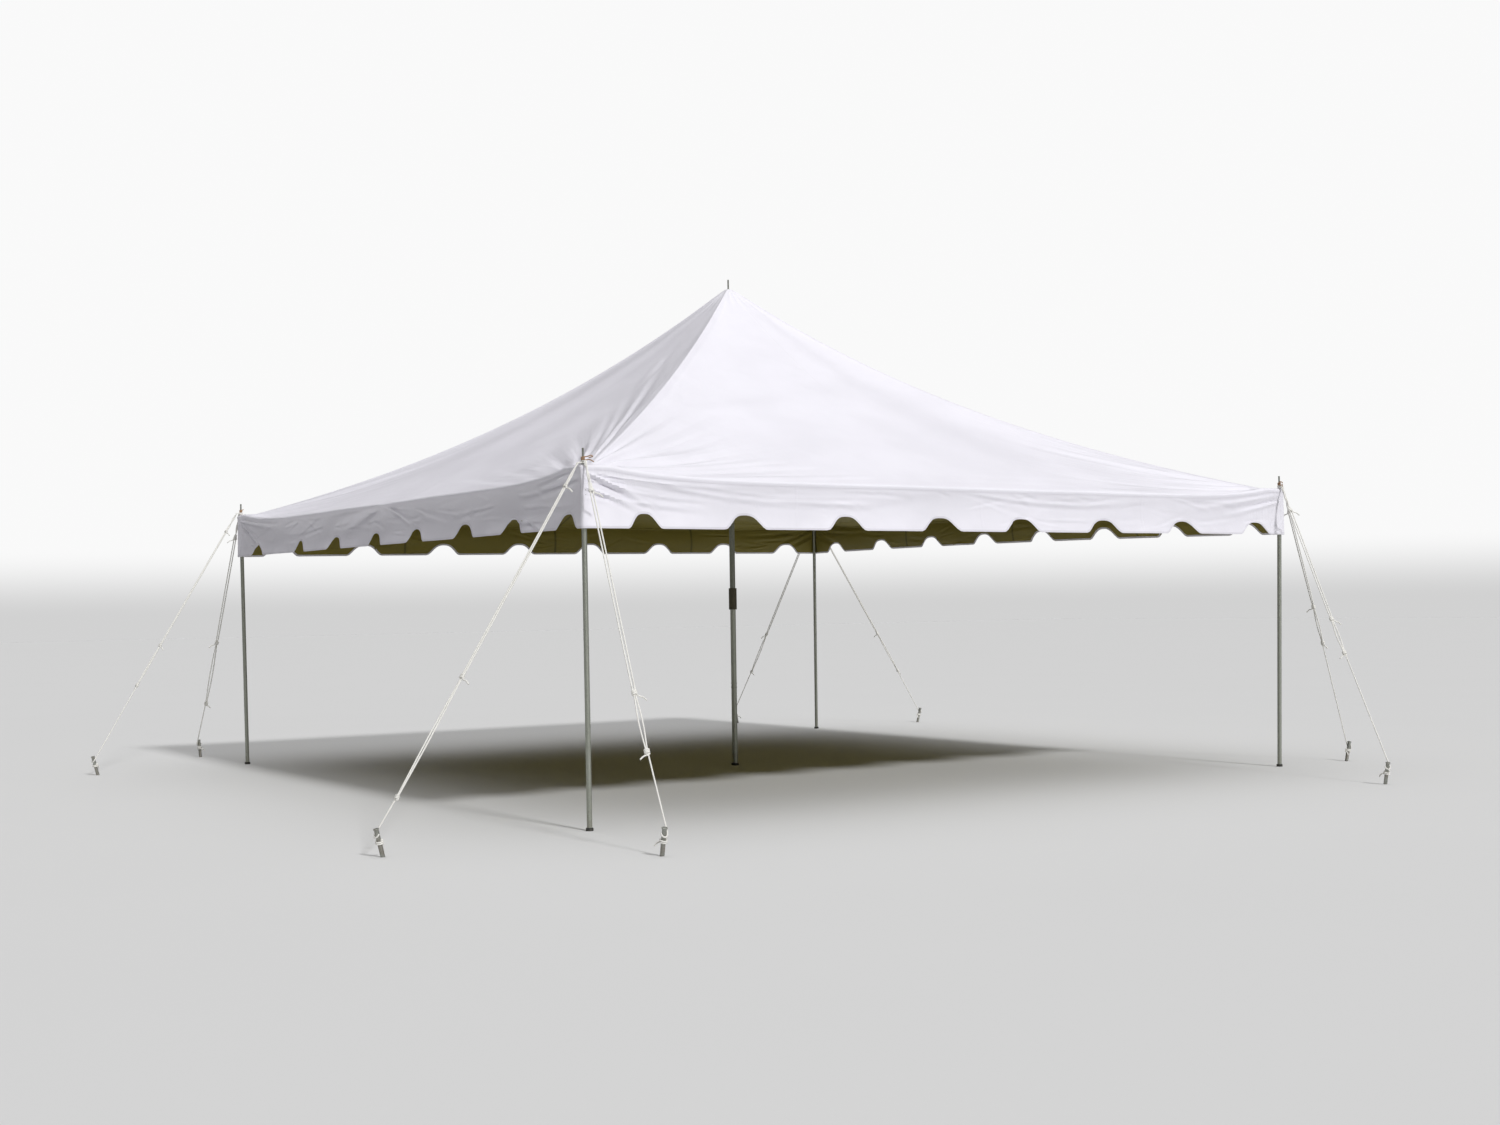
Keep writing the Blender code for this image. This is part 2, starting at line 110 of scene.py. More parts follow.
# Creases measured on the photo: start and end, half width, height and bow. On a roof panel the
# places are (along the side, out from the centre pole), on a valance (along the side, up).
ROOF_CREASES = {
    "left": (
        ((3.04, 3.06), (0.45, 0.86), 0.034, -0.011, 0.0),
        ((3.04, 3.06), (0.95, 1.36), 0.022, 0.007, 0.0),
        ((3.04, 3.06), (0.50, 1.18), 0.030, -0.010, 0.0),
        ((3.02, 3.06), (0.72, 1.48), 0.024, -0.012, 0.0),
        ((3.02, 3.06), (1.30, 2.02), 0.018, 0.006, 0.0),
        ((3.00, 3.06), (0.85, 1.72), 0.022, 0.008, 0.0),
        ((2.98, 3.06), (0.91, 1.92), 0.023, -0.010, 0.0),
        ((2.92, 3.05), (1.00, 2.12), 0.024, 0.008, 0.0),
        ((2.88, 3.05), (1.05, 2.28), 0.026, -0.008, 0.0),
        ((2.70, 3.04), (0.90, 2.45), 0.034, 0.007, 0.0),
        ((2.40, 3.04), (0.10, 2.55), 0.040, -0.007, 0.0),
        ((0.95, 1.42), (0.35, 0.72), 0.030, -0.008, 0.0),
        ((-3.0, 3.05), (-1.05, 1.60), 0.050, -0.011, 0.0),
        ((-2.9, 3.05), (-1.15, 2.20), 0.030, 0.009, 0.0),
        ((-2.8, 3.05), (-0.90, 2.55), 0.026, -0.007, 0.0),
        ((0.30, 3.00), (-0.15, 2.10), 0.060, 0.007, 0.0),
    ),
    "front": (
        ((-3.05, 3.06), (-1.45, 1.80), 0.034, 0.014, 0.0),
        ((-3.05, 3.06), (-1.35, 2.02), 0.030, -0.015, 0.0),
        ((-3.05, 3.07), (-1.35, 2.26), 0.028, 0.014, 0.0),
        ((-3.04, 3.07), (-1.25, 2.42), 0.026, -0.013, 0.0),
        ((-3.04, 3.07), (-1.15, 2.58), 0.024, 0.012, 0.0),
        ((-3.00, 3.07), (-1.00, 2.72), 0.022, -0.011, 0.0),
        ((-2.95, 3.07), (-0.70, 2.84), 0.018, 0.008, 0.0),
        ((3.02, 3.06), (1.40, 1.95), 0.034, -0.009, 0.0),
        ((3.00, 3.06), (1.10, 2.30), 0.026, 0.008, 0.0),
        ((2.98, 3.07), (1.00, 2.62), 0.024, -0.006, 0.0),
        ((-1.60, 1.90), (0.90, 0.98), 0.110, 0.010, 0.10),
    ),
}
VALANCE_CREASES = {
    "front": (
        ((-3.09, 2.112), (-2.64, 1.925), 0.015, 0.022, 0.010),
        ((-3.09, 2.025), (-2.70, 1.895), 0.014, 0.018, 0.004),
        ((-3.06, 2.112), (-1.95, 2.045), 0.013, 0.011, -0.025),
        ((-3.08, 2.070), (-2.62, 1.960), 0.011, 0.009, 0.012),
        ((-2.95, 2.075), (-2.20, 2.000), 0.012, 0.008, 0.0),
        ((-2.75, 2.000), (-2.20, 1.955), 0.011, 0.006, -0.010),
        ((-2.55, 2.050), (-0.30, 2.070), 0.022, 0.007, -0.110),
        ((-2.30, 2.045), (-0.50, 2.045), 0.015, 0.005, -0.055),
        ((-1.87, 2.095), (-1.64, 2.045), 0.013, 0.012, 0.004),
        ((-0.42, 2.075), (-0.27, 2.045), 0.012, 0.009, 0.0),
        ((0.22, 2.098), (0.54, 2.040), 0.014, 0.012, 0.004),
        ((-0.25, 2.075), (1.85, 2.060), 0.020, 0.007, -0.080),
        ((3.08, 2.115), (1.90, 1.965), 0.022, 0.012, 0.012),
        ((3.07, 2.055), (2.42, 1.935), 0.018, 0.013, 0.006),
        ((2.10, 2.060), (0.60, 2.050), 0.018, 0.005, -0.040),
        ((-2.90, 1.960), (-2.20, 1.900), 0.016, 0.009, -0.010),
        ((-1.70, 1.965), (-0.90, 1.930), 0.017, 0.008, 0.010),
    ),
    "left": (
        ((0.12, 2.100), (-0.98, 1.850), 0.050, -0.022, 0.0),
        ((0.14, 2.085), (0.76, 1.875), 0.015, 0.011, 0.0),
        ((2.26, 1.852), (2.78, 1.872), 0.020, 0.012, 0.006),
        ((2.40, 1.868), (2.62, 1.785), 0.014, 0.010, 0.0),
        ((3.09, 2.125), (2.50, 2.042), 0.018, 0.018, 0.0),
        ((3.04, 2.060), (2.25, 1.975), 0.020, 0.014, 0.012),
        ((2.20, 2.060), (1.10, 2.030), 0.022, 0.010, -0.040),
        ((-0.70, 2.060), (-2.20, 2.040), 0.024, 0.012, -0.070),
        ((-3.09, 2.105), (-2.40, 1.835), 0.017, 0.017, 0.0),
        ((-3.09, 2.120), (-2.10, 2.040), 0.022, 0.014, 0.0),
        ((-1.10, 1.960), (-2.00, 1.900), 0.018, 0.009, 0.015),
        ((1.90, 1.960), (1.25, 1.900), 0.016, 0.009, 0.0),
    ),
}
EAVE_BUMP = (0.14, 0.12, 0.018)
FAN_RELIEF = 0.034

# Corner patches: spokes and rings of their grid, and their edges in from the eaves
PATCH_SPOKES = 72
PATCH_RINGS = 9
PATCH_MARGIN = 0.0135
PATCH_LEG = 0.30
PATCH_SLANT = 0.38
PATCH_THICK = 0.0013
PIN_HOLE = 0.0085
LAYER_GAP = 0.0003

# Heights of the two bands where the centre pole's lower tube is swaged
POLE_BANDS = (0.640, 0.672)

# Rope name, how far down its two knots sit, and the length of the twisted part at the top
ROPES = (
    ("front_left_left", 0.60, 0.91, 0.16),
    ("front_left_front", 0.65, 0.80, 0.20),
    ("front_right_front", 0.50, 0.62, 0.22),
    ("front_right_right", 0.46, 0.60, 0.20),
    ("back_right_right", 0.58, 0.78, 0.20),
    ("back_right_back", 0.58, 0.78, 0.26),
    ("back_left_back", 0.55, 0.82, 0.22),
    ("back_left_left", 0.55, 0.71, 0.18),
)

# Turns of the lashing round each pin, and where a rope's loop lies on its stake
LASHING_TURNS = 3
LOOP_HEIGHT = 0.126
STAKE_RADIUS = 0.0127

# The camera of the photo, solved from the poles
CAMERA_PLACE = (-8.252, -12.482, 1.319)
CAMERA_YAW = math.radians(34.029)
CAMERA_PITCH = math.radians(1.314)
CAMERA_ROLL = math.radians(-0.850)
CAMERA_FOCAL = 1818.0
PHOTO_WIDTH = 1500.0

# Studio light, each as the heights of the sky where it starts and is full, and its strength at
# both: the light on the tent, and the backdrop behind it. Then a soft glow from the front, as its
# direction, the cosine where it ends and its strength, and the key light's place, its width in
# degrees and its strength.
SKY_LIGHT = (0.58, 1.0, 0.02, 1.56)
BACKDROP = (-0.002, 0.034, 0.64, 0.95)
FRONT_GLOW = ((0.10, -0.99, 0.0), 0.84, 0.9)
KEY_PLACE = (0.2, -7.8, 6.2)
KEY_WIDTH = 7.0
KEY_STRENGTH = 1.98


class TentCloth(bpy.types.PropertyGroup):
    """Sizes of the canopy's cloth."""

    thickness: bpy.props.FloatProperty(
        name="Thickness", description="Thickness of the coated cloth", default=0.0016, unit="LENGTH")
    eave_radius: bpy.props.FloatProperty(
        name="Eave radius", description="Radius of the roll from roof to valance", default=0.020,
        unit="LENGTH")
    eave_start: bpy.props.FloatProperty(
        name="Eave start", description="Share of the eave radius that the flat roof stops short by",
        default=0.69)
    lap: bpy.props.FloatProperty(
        name="Lap", description="How far the roof's cloth hangs over the valance", default=0.012,
        unit="LENGTH")
    corner_radius: bpy.props.FloatProperty(
        name="Corner radius", description="Radius of the corners in plan", default=0.016,
        unit="LENGTH")
    wrinkles: bpy.props.FloatProperty(
        name="Wrinkles", description="Depth of the wrinkles, 1 as on the photo", default=1.0)
    binding: bpy.props.FloatProperty(
        name="Binding", description="Height of the tape that binds the scallops", default=0.014,
        unit="LENGTH")
    seam_width: bpy.props.FloatProperty(
        name="Hip seam width", description="Width of the tape over each hip seam", default=0.040,
        unit="LENGTH")


class TentRopes(bpy.types.PropertyGroup):
    """Sizes of the guy ropes."""

    radius: bpy.props.FloatProperty(
        name="Rope radius", description="Radius of one strand", default=0.0045, unit="LENGTH")
    lay: bpy.props.FloatProperty(
        name="Lay", description="Length of one turn of the rope's yarns", default=0.042,
        unit="LENGTH")
    spread: bpy.props.FloatProperty(
        name="Spread", description="Half the distance between the two strands", default=0.0085,
        unit="LENGTH")


class TentColours(bpy.types.PropertyGroup):
    """Colours of the tent's finishes."""

    outside: bpy.props.FloatVectorProperty(
        name="Cloth outside", description="Colour of the cloth's outer face", subtype="COLOR",
        size=3, default=(0.848, 0.832, 0.896))
    # The underside's dark olive colour is painted shade and painted green bounce light from the ground
    inside: bpy.props.FloatVectorProperty(
        name="Cloth inside", description="Colour of the cloth's underside", subtype="COLOR",
        size=3, default=(0.255, 0.214, 0.046))
    rope: bpy.props.FloatVectorProperty(
        name="Rope", description="Colour of clean rope", subtype="COLOR",
        size=3, default=(0.86, 0.85, 0.83))
    stain: bpy.props.FloatVectorProperty(
        name="Rope stain", description="Colour of stained rope", subtype="COLOR",
        size=3, default=(0.50, 0.32, 0.20))
    steel: bpy.props.FloatVectorProperty(
        name="Galvanised steel", description="Colour of the poles", subtype="COLOR",
        size=3, default=(0.37, 0.385, 0.335))
    sleeve: bpy.props.FloatVectorProperty(
        name="Sleeve", description="Colour of the centre pole's sleeve", subtype="COLOR",
        size=3, default=(0.075, 0.066, 0.038))
    rubber: bpy.props.FloatVectorProperty(
        name="Rubber", description="Colour of the foot caps", subtype="COLOR",
        size=3, default=(0.035, 0.035, 0.032))
    stake: bpy.props.FloatVectorProperty(
        name="Stake", description="Colour of the stakes", subtype="COLOR",
        size=3, default=(0.33, 0.34, 0.31))
    floor: bpy.props.FloatVectorProperty(
        name="Floor", description="Colour of the studio floor", subtype="COLOR",
        size=3, default=(0.68, 0.68, 0.68))


class Field:
    """A value socket that Python arithmetic can be written with."""

    def __init__(self, graph, socket):
        self.graph = graph
        self.socket = socket

    def _math(self, operation, first, second=0.0):
        return self.graph.node("ShaderNodeMath", {"operation": operation}, [first, second])

    def __add__(self, other):
        return self._math("ADD", self, other)

    __radd__ = __add__

    def __sub__(self, other):
        return self._math("SUBTRACT", self, other)

    def __rsub__(self, other):
        return self._math("SUBTRACT", other, self)

    def __mul__(self, other):
        return self._math("MULTIPLY", self, other)

    __rmul__ = __mul__

    def __truediv__(self, other):
        return self._math("DIVIDE", self, other)

    def __pow__(self, other):
        return self._math("POWER", self, other)

    def __abs__(self):
        return self._math("ABSOLUTE", self)

    def heading(self, other):
        """The angle whose tangent is this value over the other."""
        return self._math("ARCTAN2", self, other)

    def smallest(self, other):
        return self._math("MINIMUM", self, other)

    def wave(self, length):
        """A sine of this value with the given wavelength."""
        return self._math("SINE", self * (2.0 * math.pi / length))

    def ramp(self, low, high):
        """0 below low and 1 above high, smooth between them; high may be the lower of the two."""
        settings = {"interpolation_type": "SMOOTHSTEP"}
        return self.graph.node("ShaderNodeMapRange", settings, [self, low, high, 0.0, 1.0])


class Graph:
    """A material with a Principled shader, built from expressions."""

    def __init__(self, name):
        self.material = bpy.data.materials.new(name)
        self.material.use_nodes = True
        self.tree = self.material.node_tree
        self.shader = self.tree.nodes["Principled BSDF"]

    def _put(self, socket, value):
        if isinstance(value, Field):
            self.tree.links.new(value.socket, socket)
        elif hasattr(value, "__len__") and len(value) == 3 and socket.type == "RGBA":
            socket.default_value = (*value, 1.0)
        else:
            socket.default_value = value

    def node(self, kind, settings=None, inputs=(), output=0):
        """Add a node: its settings first, then its sockets by order or by name."""
        made = self.tree.nodes.new(kind)
        for key, value in (settings or {}).items():
            setattr(made, key, value)
        pairs = inputs.items() if isinstance(inputs, dict) else enumerate(inputs)
        for key, value in pairs:
            if kind == "ShaderNodeMath" and key == 1 and len(made.inputs) < 2:
                continue
            self._put(made.inputs[key], value)
        return Field(self, made.outputs[output])

    def place(self):
        """The object's own coordinates, as a vector."""
        return self.node("ShaderNodeTexCoord", output=3)

    def axes(self, vector):
        """The three numbers of a vector."""
        made = self.tree.nodes.new("ShaderNodeSeparateXYZ")
        self.tree.links.new(vector.socket, made.inputs[0])
        return [Field(self, out) for out in made.outputs]

    def joined(self, *axes):
        """A vector from three numbers."""
        return self.node("ShaderNodeCombineXYZ", inputs=axes)

    def cloud(self, vector, scale, detail=3.0, rough=0.5):
        """Soft noise from 0 to 1."""
        return self.node("ShaderNodeTexNoise", {"noise_dimensions": "3D"},
                         {"Vector": vector, "Scale": scale, "Detail": detail, "Roughness": rough})

    def stretched(self, vector, scale):
        """A vector stretched by three factors."""
        return self.node("ShaderNodeMapping", {"vector_type": "POINT"},
                         {"Vector": vector, "Scale": scale})

    def blend(self, mask, low, high):
        """One colour where the mask is 0, the other where it is 1."""
        made = self.tree.nodes.new("ShaderNodeMix")
        made.data_type = "RGBA"
        self._put(made.inputs[0], mask)
        self._put(made.inputs[6], low)
        self._put(made.inputs[7], high)
        return Field(self, made.outputs[2])

    def bump(self, height, distance, strength=1.0):
        """Relief of the given height in metres, on the shader's normal."""
        made = self.node("ShaderNodeBump", inputs={"Strength": strength, "Distance": distance,
                                                   "Height": height})
        self._put(self.shader.inputs["Normal"], made)

    def surface(self, colour, roughness, metallic=0.0, specular=0.5):
        """Set the shader's colour, roughness and metal."""
        self._put(self.shader.inputs["Base Color"], colour)
        self._put(self.shader.inputs["Roughness"], roughness)
        self._put(self.shader.inputs["Metallic"], metallic)
        self.shader.inputs["Specular IOR Level"].default_value = specular
        return self.material


def tint(colour, factor):
    """A colour made lighter or darker by a factor."""
    return tuple(min(1.0, c * factor) for c in colour)


def cloth_material(name, colour, seam_dark, specular):
    """Coated cloth: faint mottling, welded seams between its widths, a weave, small crumples, and
    painted shade in the troughs of the creases that fan out from the pins.
    """
    g = Graph(name)
    along, up, _ = g.axes(g.node("ShaderNodeUVMap", {"uv_map": "cloth"}))
    place = g.place()
    x, y, _ = g.axes(place)
    mottle = g.cloud(place, 1.6, 4.0, 0.6)
    grime = g.cloud(place, 7.0, 5.0, 0.65).ramp(0.52, 0.80)
    seam_away = abs(along).smallest(abs(abs(along) - 1.549))
    seam = seam_away.ramp(0.012, 0.009)
    stitch = abs(seam_away - 0.010).ramp(0.0018, 0.0008)
    hip = abs(abs(x) - abs(y)).ramp(0.55, 0.12) * (abs(x) + abs(y)).ramp(1.2, 3.2)
    streaks = g.joined((abs(x) - abs(y)) * 17.0, (abs(x) + abs(y)) * 4.0, x * 1.5)
    crumple = g.cloud(streaks, 1.0, 4.0, 0.6)
    to_pin = (PIN_REACH - abs(x), PIN_REACH - abs(y))
    away = (to_pin[0] ** 2.0 + to_pin[1] ** 2.0) ** 0.5
    heading = to_pin[1].heading(to_pin[0])
    fan = g.cloud(g.joined(heading * 13.0, away * 0.5, x * 0.02 + y * 0.03), 1.0, 2.5, 0.5)
    near = away.ramp(2.6, 0.7) * (PIN_REACH - abs(y)).ramp(-0.03, 0.01)
    # Painted shade: a mask for the troughs of the fan relief near each pin, where shade falls
    painted_trough_shade = fan.ramp(0.56, 0.36) * near * away.ramp(0.03, 0.12)
    fan = fan * away * near * FAN_RELIEF
    creases = g.cloud(g.stretched(place, (1.0, 1.0, 1.6)), 9.0, 6.0, 0.62)
    weave = along.wave(0.0022) * up.wave(0.0022)
    base = g.blend(mottle.ramp(0.35, 0.70), tint(colour, 0.965), colour)
    base = g.blend(grime * 0.08, base, tint(colour, 0.75))
    # Painted shade: the cloth's colour darkened in the fan's troughs
    base = g.blend(painted_trough_shade * 0.11, base, tint(colour, 0.45))
    base = g.blend((seam + stitch * 0.4) * seam_dark, base, tint(colour, 0.45))
    g.bump(creases * 0.0022 + crumple * hip * 0.010 + fan + weave * 0.00004 + seam * 0.0009
           - stitch * 0.0006, 1.0, 0.6)
    return g.surface(base, 0.40 + mottle * 0.16, 0.0, specular)


def steel_material(name, colour, scale, rust):
    """Dull metal with spangle, fine scratches along Z and some rust near the ground."""
    g = Graph(name)
    place = g.place()
    _, _, height = g.axes(place)
    spangle = g.node("ShaderNodeTexVoronoi", {"feature": "F1"},
                     {"Vector": place, "Scale": scale}, output=0)
    scratch = g.cloud(g.stretched(place, (60.0, 60.0, 4.0)), 4.0, 4.0, 0.6)
    worn = g.cloud(place, 24.0, 5.0, 0.65)
    low = height.ramp(0.35, 0.0)
    rusty = (worn + low * 0.35).ramp(0.70, 0.90) * rust
    base = g.blend(spangle * 0.6, tint(colour, 1.15), tint(colour, 0.72))
    base = g.blend(scratch.ramp(0.45, 0.75) * 0.35, base, tint(colour, 1.5))
    base = g.blend(rusty, base, (0.16, 0.075, 0.035))
    g.bump(scratch * 0.00015 + worn * 0.0002, 1.0, 0.5)
    return g.surface(base, 0.32 + scratch * 0.22 + rusty * 0.3, 0.85 - rusty * 0.7)


def painted_material(name, colour):
    """Thin dark paint, chipped here and there."""
    g = Graph(name)
    place = g.place()
    worn = g.cloud(place, 30.0, 6.0, 0.7)
    chips = worn.ramp(0.62, 0.68)
    base = g.blend(g.cloud(place, 8.0), tint(colour, 0.75), tint(colour, 1.35))
    base = g.blend(chips * 0.6, base, (0.20, 0.19, 0.16))
    g.bump(worn * 0.0004 - chips * 0.0002, 1.0, 0.6)
    return g.surface(base, 0.45 + worn * 0.2, chips * 0.6)


def rubber_material(name, colour):
    """Moulded rubber, dusty towards the ground."""
    g = Graph(name)
    place = g.place()
    _, _, height = g.axes(place)
    dust = g.cloud(place, 60.0, 5.0, 0.7).ramp(0.45, 0.75) * height.ramp(0.02, 0.0)
    base = g.blend(dust * 0.6, colour, (0.20, 0.17, 0.13))
    g.bump(g.cloud(place, 180.0, 3.0), 0.0004, 0.5)
    return g.surface(base, 0.72)


def rope_material(name, clean, stain):
    """Three-strand rope: painted shade in the lines between its strands, fibres, and stains at both
    ends.
    """
    g = Graph(name)
    place = g.place()
    _, _, height = g.axes(place)
    turn, length, _ = g.axes(g.node("ShaderNodeUVMap", {"uv_map": "rope"}))
    # Painted shade: a mask for the lines between the strands, where shade falls in the grooves
    painted_strand_shade = abs((turn * 3.0).wave(1.0))
    fibre = g.cloud(g.stretched(place, (1.0, 1.0, 1.0)), 420.0, 3.0, 0.6)
    patch = g.cloud(place, 5.0, 4.0, 0.6)
    ends = height.ramp(0.75, 0.10) + height.ramp(2.02, 2.16)
    dirty = (patch * 0.7 + ends * 0.45).ramp(0.50, 0.95)
    base = g.blend(painted_strand_shade.ramp(0.35, 0.0) * 0.55, clean, tint(clean, 0.45))
    base = g.blend(fibre * 0.25, base, tint(clean, 0.7))
    base = g.blend(dirty * 0.75, base, stain)
    g.bump(fibre * 0.0003 + length.wave(0.004) * 0.00008, 1.0, 0.6)
    return g.surface(base, 0.85, 0.0, 0.25)


def floor_material(name, colour):
    """Plain pale floor with a faint unevenness."""
    g = Graph(name)
    place = g.place()
    base = g.blend(g.cloud(place, 0.6, 2.0), tint(colour, 0.985), colour)
    return g.surface(base, 0.9, 0.0, 0.1)


def material(name, make, *values):
    """The named material, made the first time it is asked for."""
    return bpy.data.materials.get(name) or make(name, *values)


def smoothstep(value, low, high):
    """0 below low and 1 above high, smooth between them."""
    t = np.clip((np.asarray(value, float) - low) / (high - low), 0.0, 1.0)
    return t * t * (3.0 - 2.0 * t)


def side_corners(side):
    """The corners at the two ends of a side: first the one at -x where the side is the front."""
    turn = SIDES.index(side)
    return CORNERS[turn - 1], CORNERS[turn]


def hip_height(corner, ring):
    """Height of a hip, from ring 0 at the crown's edge to 1 at the corner patch."""
    curve = HIP_CURVES[corner]
    end = math.exp(-curve)
    fall = (np.exp(-curve * np.clip(ring, 0.0, 1.0)) - end) / (1.0 - end)
    return CORNER_TOP + (PEAK - CORNER_TOP) * fall


def roof_height(side, x, depth):
    """Height of the smooth roof at x along a side and depth out from the centre pole."""
    start, end = side_corners(side)
    patch_ring = EDGE - CORNER_PATCH / 2
    ring = (depth - CROWN_HALF) / (patch_ring - CROWN_HALF)
    share = 0.5 + 0.5 * np.clip(x / depth, -1.0, 1.0)
    height = hip_height(start, ring) * (1.0 - share) + hip_height(end, ring) * share
    reach = (EDGE - CORNER_PATCH) / EDGE
    across = np.minimum(1.0, np.abs(x) / depth / reach)
    fade = np.minimum(1.0, depth / EDGE) ** SAG_FADE
    return height - EAVE_SAG * fade * (1.0 - across ** EAVE_SAG_POWER)


def notches(side):
    """Centre and half width of each scallop along a side."""
    if side in NEAR_NOTCHES:
        return NEAR_NOTCHES[side]
    first = NOTCH_PITCH * (NOTCH_COUNT - 1) / 2
    return [(NOTCH_PITCH * i - first, FAR_NOTCH_HALF) for i in range(NOTCH_COUNT)]


def valance_bottom(side, x):
    """Height of the scalloped edge."""
    start, end = side_corners(side)
    share = 0.5 + 0.5 * x / EDGE
    low = VALANCE_LOWS[start] * (1.0 - share) + VALANCE_LOWS[end] * share
    low = low + VALANCE_BOWS[side] * (1.0 - (x / EDGE) ** 2)
    away = np.min([np.abs(x - centre) / half for centre, half in notches(side)], axis=0)
    away = np.minimum(1.0, away)
    return low + NOTCH_DEPTH * (0.5 + 0.5 * np.cos(math.pi * away ** NOTCH_ROUND))


def ridge(u, v, crease):
    """Height of one crease: a rounded crest with a shallower valley beside it, narrow where it
    starts and fading out at both ends."""
    (u0, v0), (u1, v1), width, height, bow = crease
    du, dv = u1 - u0, v1 - v0
    length = math.hypot(du, dv)
    share = ((u - u0) * du + (v - v0) * dv) / length ** 2
    off = ((v - v0) * du - (u - u0) * dv) / length - bow * 4.0 * share * (1.0 - share)
    share = np.clip(share, 0.0, 1.0)
    along = np.sin(math.pi * share ** 0.65) ** 0.7
    gap = off / (width * (0.50 + 0.85 * share))
    return height * along * (np.exp(-gap ** 2) - 0.6 * np.exp(-(gap + 1.6) ** 2))


def corner_rays(side, end):
    """Creases that fan out from one pin over one roof panel, as angle, width, height and reach."""
    draw = random.Random(17 + 2 * SIDES.index(side) + (end > 0))
    share = 0.4 if (side, end) in (("front", -1), ("left", 1)) else 1.0
    rays = []
    for i in range(RAY_COUNT):
        angle = math.radians(3.0 + 39.0 * (i + draw.uniform(0.25, 0.75)) / RAY_COUNT)
        height = share * draw.uniform(0.0050, 0.0085) * (1 if i % 2 else -1)
        rays.append((angle, math.radians(draw.uniform(1.7, 2.3)), height, draw.uniform(1.3, 2.2)))
    return rays


def roof_creases(side):
    """Long soft creases of a roof panel: those the photo shows, and drawn ones on hidden panels."""
    if side in ROOF_CREASES:
        return ROOF_CREASES[side]
    draw = random.Random(90 + SIDES.index(side))
    creases = []
    for end in (-1, 1):
        for i in range(4):
            far = draw.uniform(1.0, 1.9)
            creases.append(((end * (2.92 - 0.12 * i), 3.0), (end * (far - 0.5 - 0.2 * i), far),
                            draw.uniform(0.03, 0.05), draw.uniform(0.004, 0.009) * (-1) ** i, 0.0))
    return creases


def roof_relief(side, x, depth):
    """Height of the creases over the smooth roof."""
    draw = random.Random(40 + SIDES.index(side))
    relief = np.zeros_like(x)
    for end in (-1, 1):
        along = PIN_REACH - end * x
        inward = PIN_REACH - depth
        away = np.hypot(along, inward)
        angle = np.arctan2(inward, along)
        for ray, width, height, reach in corner_rays(side, end):
            span = smoothstep(away, 0.10, 0.50) * (1.0 - smoothstep(away, 0.45 * reach, reach))
            relief += height * span * np.exp(-((angle - ray) / width) ** 2)
    for crease in roof_creases(side):
        relief += ridge(x, depth, crease)
    from_eave = EDGE - depth
    drift = 0.8 * np.sin(x * 0.9 + draw.uniform(0, 6)) + 0.5 * np.sin(x * 2.3 + draw.uniform(0, 6))
    streaks = np.sin(from_eave / 0.115 * 2.0 * math.pi + drift) * np.exp(-from_eave / 0.34)
    relief += 0.0021 * streaks * (0.6 + 0.4 * np.sin(x * 1.1 + draw.uniform(0, 6)))
    share = x / np.maximum(depth, 0.02)
    middle = depth / EDGE * (1.0 - depth / EDGE) * 4.0
    for count, height in ((1.3, 0.0110), (2.4, 0.0060), (4.1, 0.0028)):
        relief += height * middle * np.sin(count * math.pi * share + draw.uniform(0, 6))
    crown = np.exp(-((depth - 0.14) / 0.13) ** 2) * smoothstep(depth, 0.03, 0.07)
    relief += 0.0042 * crown * np.sin(5.0 * math.pi * share + draw.uniform(0, 6))
    relief += 0.0020 * np.sin(x * 5.3 + depth * 3.7) * np.sin(depth * 6.1 - x * 2.2)
    from_hip = depth - np.abs(x)
    return relief * smoothstep(from_hip, 0.0, 0.06)


def valance_creases(side):
    """Creases of one valance: those the photo shows, then many small drawn ones."""
    creases = list(VALANCE_CREASES.get(side, ()))
    draw = random.Random(60 + SIDES.index(side))
    if side not in VALANCE_CREASES:
        for end in (-1, 1):
            for top, run, fall in ((2.11, 0.36, 0.16), (2.04, 0.34, 0.11), (2.10, 1.0, 0.07)):
                run *= draw.uniform(0.8, 1.3)
                creases.append(((end * 3.08, top), (end * (3.08 - run), top - fall),
                                draw.uniform(0.016, 0.024), draw.uniform(0.008, 0.014),
                                end * run * 0.03))
    for _ in range(CRINKLE_COUNT):
        x, z = draw.uniform(-3.0, 3.0), draw.uniform(1.86, 2.09)
        run, slope = draw.uniform(0.18, 0.60), draw.gauss(0.0, 0.16)
        height = draw.uniform(0.0022, 0.0055) * draw.choice((-1, 1))
        creases.append(((x - run / 2, z - slope * run / 2), (x + run / 2, z + slope * run / 2),
                        draw.uniform(0.011, 0.019), height, draw.gauss(0.0, 0.010)))
    return creases


def valance_relief(side, x, z):
    """How far the valance stands out from the plane of the eave."""
    k = SIDES.index(side)
    top = roof_height(side, x, np.full_like(x, EDGE)) - EAVE_ROLL
    bottom = valance_bottom(side, x)
    drop = np.clip((top - z) / (top - 1.79), 0.0, 1.1)
    broad = -0.020 * np.sin(math.pi * np.clip(drop, 0.0, 1.0) ** 0.85) + 0.010 * drop ** 2
    broad += 0.0070 * drop * np.sin(2.0 * math.pi * x / 1.55 + 1.7 * k)
    broad += 0.0040 * drop * np.sin(2.0 * math.pi * x / 0.57 + 0.9 * k + 3.0 * drop)
    if side == "left":
        centre, width, height = EAVE_BUMP
        broad += height * np.exp(-((x - centre) / width) ** 2) * np.exp(-drop / 0.3)
    small = np.zeros_like(x)
    for crease in valance_creases(side):
        small += ridge(x, z, crease)
    small += 0.0022 * np.exp(-((z - bottom) / 0.035) ** 2) * np.sin(2.0 * math.pi * x / 0.19 + k)
    relief = broad + small * smoothstep(top - z, 0.010, 0.045)
    return relief * smoothstep(EDGE - np.abs(x), 0.0, 0.06)


